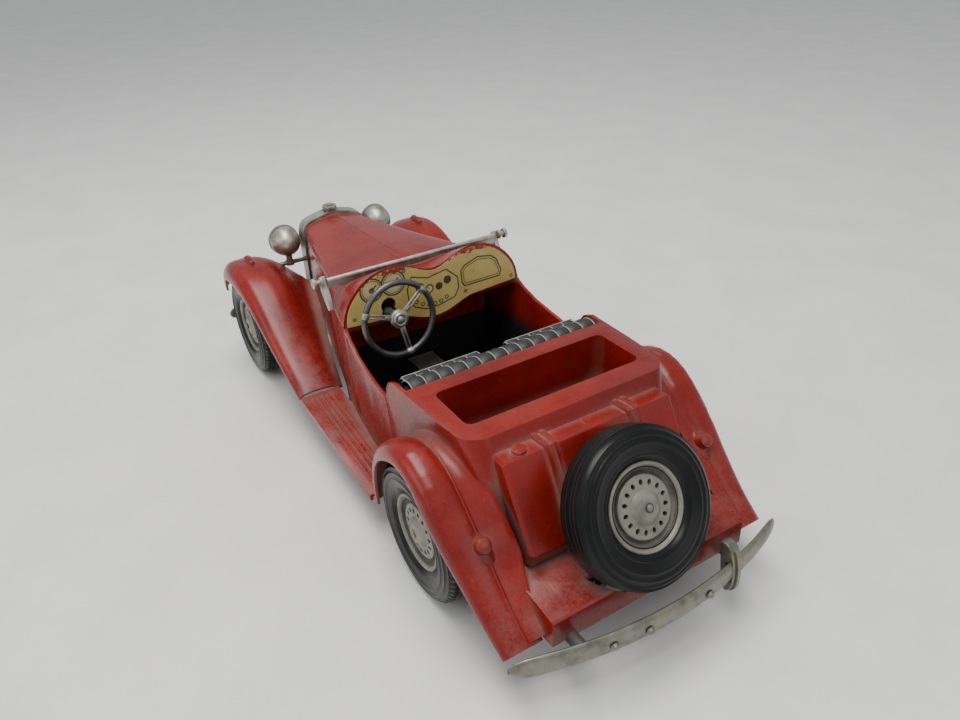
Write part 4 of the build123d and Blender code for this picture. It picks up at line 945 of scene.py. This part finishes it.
def spoke_meshes(degrees):
    """A pair of bars, the web between them at the hub and the clamp on the rim."""
    meshes = []
    for y in (-SPOKE_APART * MM, SPOKE_APART * MM):
        start, end = (SPOKE_INNER * MM, y, -SPOKE_DISH * MM), (SPOKE_OUTER * MM, y, 0)
        meshes.append(bar_mesh(SPOKE_RADIUS * MM, start, end))
    start, end = (WEB_INNER * MM, 0, -WEB_DISH_INNER * MM), (WEB_OUTER * MM, 0, -WEB_DISH_OUTER * MM)
    meshes.append(bar_mesh(WEB_RADIUS * MM, start, end))
    start, end = (CLAMP_PLACE * MM, -CLAMP_HALF * MM, 0), (CLAMP_PLACE * MM, CLAMP_HALF * MM, 0)
    meshes.append(bar_mesh(CLAMP_RADIUS * MM, start, end, 20))
    for bm in meshes:
        bmesh.ops.transform(bm, matrix=Matrix.Rotation(radians(degrees), 4, "Z"), verts=bm.verts)
    return meshes


def frame_towards(direction):
    """A turn that takes +Z to a direction and +X to the car's right."""
    z_axis = Vector(direction).normalized()
    x_axis = Vector((0, -1, 0))
    y_axis = z_axis.cross(x_axis)
    return Matrix((x_axis, y_axis, z_axis)).transposed().to_4x4()


def make_steering_wheel():
    joint = next(j for j in frame["joints"] if j["name"] == "steering_turn")
    place = Matrix.Translation(joint["pos_m"]) @ frame_towards(-Vector(joint["axis"]))
    rim = rim_mesh()
    bmesh.ops.transform(rim, matrix=place, verts=rim.verts)
    body, slot = "steering_wheel_body", "gunmetal"
    piece("steering_wheel_rim", rim, body, slot, "gunmetal", "steering_wheel", smooth=60)
    bars = [bm for degrees in SPOKE_TURNS for bm in spoke_meshes(degrees)]
    spokes = joined([spun(HUB_PROFILE, 48)] + bars)
    bmesh.ops.transform(spokes, matrix=place, verts=spokes.verts)
    piece("steering_wheel_spokes", spokes, body, slot, "nickel", smooth=40)


# ---- tail lamps ----
LAMP_X, LAMP_Y, LAMP_Z = -44.0, 63.0, 54.6
FOOT_LENGTH, FOOT_WIDTH, FOOT_HEIGHT = 9.8, 5.4, 3.0
FOOT_TAPER, FOOT_SINK = 0.28, 1.0
WING_SLOPE = (-0.72, 0, -0.69)
BARREL_LEAN, BARREL_RISE = -52, 2.0
BARREL_PROFILE = [
    (0, 5.0), (2.0, 4.9), (3.3, 4.3), (3.8, 3.2), (3.9, 0.4), (4.1, 0.1), (4.1, -0.6), (3.9, -0.9),
    (3.9, -4.2), (3.5, -4.8), (0, -4.8),
]


def frame_along(direction):
    """A turn that takes +X to a direction in the XZ plane and +Z upward."""
    x_axis = Vector(direction).normalized()
    y_axis = Vector((0, -1, 0)) if x_axis.x < 0 else Vector((0, 1, 0))
    return Matrix((x_axis, y_axis, x_axis.cross(y_axis))).transposed().to_4x4()


def lamp_centre(sign):
    return Vector((rear(LAMP_X), sign * LAMP_Y * MM, LAMP_Z * MM))


def lamp_foot_mesh(sign):
    """A teardrop that lies along the slope of the wing, half sunk into it."""
    foot = bmesh.new()
    bmesh.ops.create_uvsphere(foot, u_segments=32, v_segments=20, radius=1.0)
    for vert in foot.verts:
        vert.co.y *= 1.0 + FOOT_TAPER * vert.co.x
    scale = Matrix.Diagonal((FOOT_LENGTH * MM, FOOT_WIDTH * MM, FOOT_HEIGHT * MM, 1))
    turn = frame_along(WING_SLOPE)
    sink = turn @ Vector((0, 0, -FOOT_SINK * MM))
    place = Matrix.Translation(lamp_centre(sign) + sink) @ turn @ scale
    bmesh.ops.transform(foot, matrix=place, verts=foot.verts)
    return foot


def lamp_barrel_mesh(sign):
    barrel = spun(BARREL_PROFILE, 40)
    tilt = Matrix.Rotation(radians(BARREL_LEAN), 4, "Y")
    up = Vector((0.25, 0, 0.97)) * BARREL_RISE * MM
    bmesh.ops.transform(barrel, matrix=Matrix.Translation(lamp_centre(sign) + up) @ tilt, verts=barrel.verts)
    return barrel


def make_tail_lamps():
    for side, sign in SIDES:
        nodes = ("tail_lamps",) if sign > 0 else ()
        foot, barrel = lamp_foot_mesh(sign), lamp_barrel_mesh(sign)
        piece(f"tail_lamp_foot_{side}", foot, "body", "red_enamel", "red_enamel", smooth=60)
        piece(f"tail_lamp_barrel_{side}", barrel, "body", "red_enamel", "lamp_red", *nodes, smooth=40)


# ---- where the rear wings meet the body ----
SEAM_Y, SEAM_HALF, SEAM_HEIGHT, SEAM_SINK = 62.4, 0.6, 0.7, 0.2
SEAM_SHARE = 0.34
FILLET_FRONT, FILLET_LENGTH = 26.0, 102.0
FILLET_STEPS, FILLET_ROWS, FILLET_BLEND = 60, 18, 3
CLIMB, TAIL_CLIMB = 5.0, 4.0
TAIL_START, TAIL_LENGTH = 0.024, 0.022
DROP_START, DROP_LENGTH = 0.052, 0.024
WALL_LEAST, WALL_OVERLAP = 0.0505, 0.0006


def tree_of(node):
    """A CAD node's surface, to look up points on it."""
    bm = bmesh.new()
    bm.from_mesh(NODES[node].data)
    tree = BVHTree.FromBMesh(bm)
    bm.free()
    return tree


def surface_z(tree, x, y):
    """Height of the surface over a point."""
    hit = tree.ray_cast(Vector((x, y, 1.0)), Vector((0, 0, -1)))[0]
    return hit.z if hit else 0.0


def side_y(tree, x, z, sign):
    """Distance from the middle to the side of the body at a height."""
    hit = tree.ray_cast(Vector((x, sign * 0.2, z)), Vector((0, -sign, 0)))[0]
    return abs(hit.y) if hit else 0.0


def smoothed(values, reach):
    """Each value averaged with its neighbours, up to reach steps away."""
    windows = [values[max(k - reach, 0):k + reach + 1] for k in range(len(values))]
    return [sum(window) / len(window) for window in windows]


def fillet_stations(side, sign):
    """At each step back along a wing: x, the seam's z, the slope's climb and the y where it ends."""
    wing, tub, apron = [tree_of(node) for node in (f"rear_wing_{side}", "body_tub", "rear_apron")]
    rows, walls = [], []
    for step in range(FILLET_STEPS + 1):
        x = rear(FILLET_FRONT - FILLET_LENGTH * step / FILLET_STEPS)
        z = surface_z(wing, x, sign * SEAM_Y * MM)
        tail = ramp(REAR_X - x, TAIL_START, TAIL_LENGTH)
        drop = ramp(REAR_X - x, DROP_START, DROP_LENGTH)
        climb = (CLIMB + TAIL_CLIMB * tail) * MM * (1.0 - drop)
        wall = max(side_y(tub, x, z + climb, sign), side_y(apron, x, z, sign), WALL_LEAST)
        rows.append((x, z, climb))
        walls.append(wall - WALL_OVERLAP)
    return [(*row, wall) for row, wall in zip(rows, smoothed(walls, FILLET_BLEND))]


def fillet_mesh(side, sign):
    """A raised seam along a rear wing and the hollow slope from it up to the body side and tail apron."""
    stations = fillet_stations(side, sign)
    seam, half = SEAM_Y * MM, SEAM_HALF * MM
    bm = bmesh.new()
    bmesh.ops.create_grid(bm, x_segments=FILLET_STEPS, y_segments=FILLET_ROWS, size=1.0)
    for vert in bm.verts:
        x, z, climb, wall = stations[round((vert.co.x + 1) / 2 * FILLET_STEPS)]
        share = (vert.co.y + 1) / 2
        if share < SEAM_SHARE:
            around = pi * share / SEAM_SHARE
            y = seam + half * cos(around)
            rise = SEAM_HEIGHT * MM * sin(around)
        else:
            u = (share - SEAM_SHARE) / (1 - SEAM_SHARE)
            y = (seam - half) * (1 - u) + wall * u
            rise = climb * (1 - sqrt(max(1 - u * u, 0.0)))
        vert.co = (x, sign * y, z - SEAM_SINK * MM + rise)
    bmesh.ops.recalc_face_normals(bm, faces=bm.faces)
    return bm


def make_fillets():
    for side, sign in SIDES:
        name = f"rear_wing_fillet_{side}"
        piece(name, fillet_mesh(side, sign), "body", "red_enamel", "red_enamel", smooth=70)


# ---- bumpers ----
BULGE, BULGE_BACK = 2.1, -0.55
BAR_SINK, BAR_TALLER = 0.4, 1.1
TIP_LENGTH, TIP_SHARE = 12.0, 0.22


def bumper_mesh(node, facing):
    """A swept bar with a rounded face and tapered ends along a CAD bumper. facing is -1 for the rear."""
    tree = tree_of(node)
    low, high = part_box(node)
    centre_z, half_z, half_y = (low.z + high.z) / 2, (high.z - low.z) / 2, high.y
    bm = bmesh.new()
    bmesh.ops.create_grid(bm, x_segments=96, y_segments=28, size=1.0)
    for vert in bm.verts:
        y, around = vert.co.x * half_y, vert.co.y * pi
        hit = tree.ray_cast(Vector((facing * 0.5, y * 0.985, centre_z)), Vector((-facing, 0, 0)))[0]
        past = ramp(abs(y), half_y - TIP_LENGTH * MM, TIP_LENGTH * MM)
        taper = TIP_SHARE + (1 - TIP_SHARE) * sqrt(1.0 - past**2)
        bulge = BULGE * MM * max(cos(around), BULGE_BACK) * taper
        z = centre_z + (half_z + BAR_TALLER * MM) * taper * sin(around)
        vert.co = (hit.x + facing * (bulge - BAR_SINK * MM), y, z)
    bmesh.ops.remove_doubles(bm, verts=bm.verts, dist=BAR_SEAM)
    bmesh.ops.recalc_face_normals(bm, faces=bm.faces)
    return bm


def make_bumpers():
    for node, facing in (("rear_bumper", -1), ("front_bumper", 1)):
        bar = bumper_mesh(node, facing)
        piece(f"{node}_bar", bar, "body", "bumper_metal", "bumper_metal", node, smooth=60)


def make_stud_heads():
    """The rear bumper's studs, moved out to stand on the rounded bar."""
    node = "rear_bumper_studs"
    studs = bmesh.new()
    studs.from_mesh(NODES[node].data)
    bmesh.ops.remove_doubles(studs, verts=studs.verts, dist=CAD_SEAM)
    bmesh.ops.translate(studs, vec=(-BULGE * MM, 0, 0), verts=studs.verts)
    piece("rear_bumper_stud_heads", studs, "body", slot_of(node), "bumper_metal", node)


# ---- floor ----
FLOOR_HALF = 6.0
FLOOR_PALE, FLOOR_PALEST = (0.76, 0.755, 0.735), (0.82, 0.81, 0.785)


def make_floor():
    bm = bmesh.new()
    bmesh.ops.create_grid(bm, x_segments=1, y_segments=1, size=FLOOR_HALF)
    data = bpy.data.meshes.new("floor")
    bm.to_mesh(data)
    bm.free()
    floor = bpy.data.objects.new("floor", data)
    bpy.context.scene.collection.objects.link(floor)
    m = Finish("pale_floor")
    base = m.mix(m.noise(60, 3).step(0.3, 0.7), FLOOR_PALE, FLOOR_PALEST)
    data.materials.append(m.finish(base, 0.55))


make_camera()
FINISH = make_finishes()
make_lights()
make_floor()
finish_nodes()
make_tyres()
make_hub_nubs()
make_seat_back()
make_seat_slab()
make_cushions()
make_steering_wheel()
make_tail_lamps()
make_fillets()
make_bumpers()
make_stud_heads()
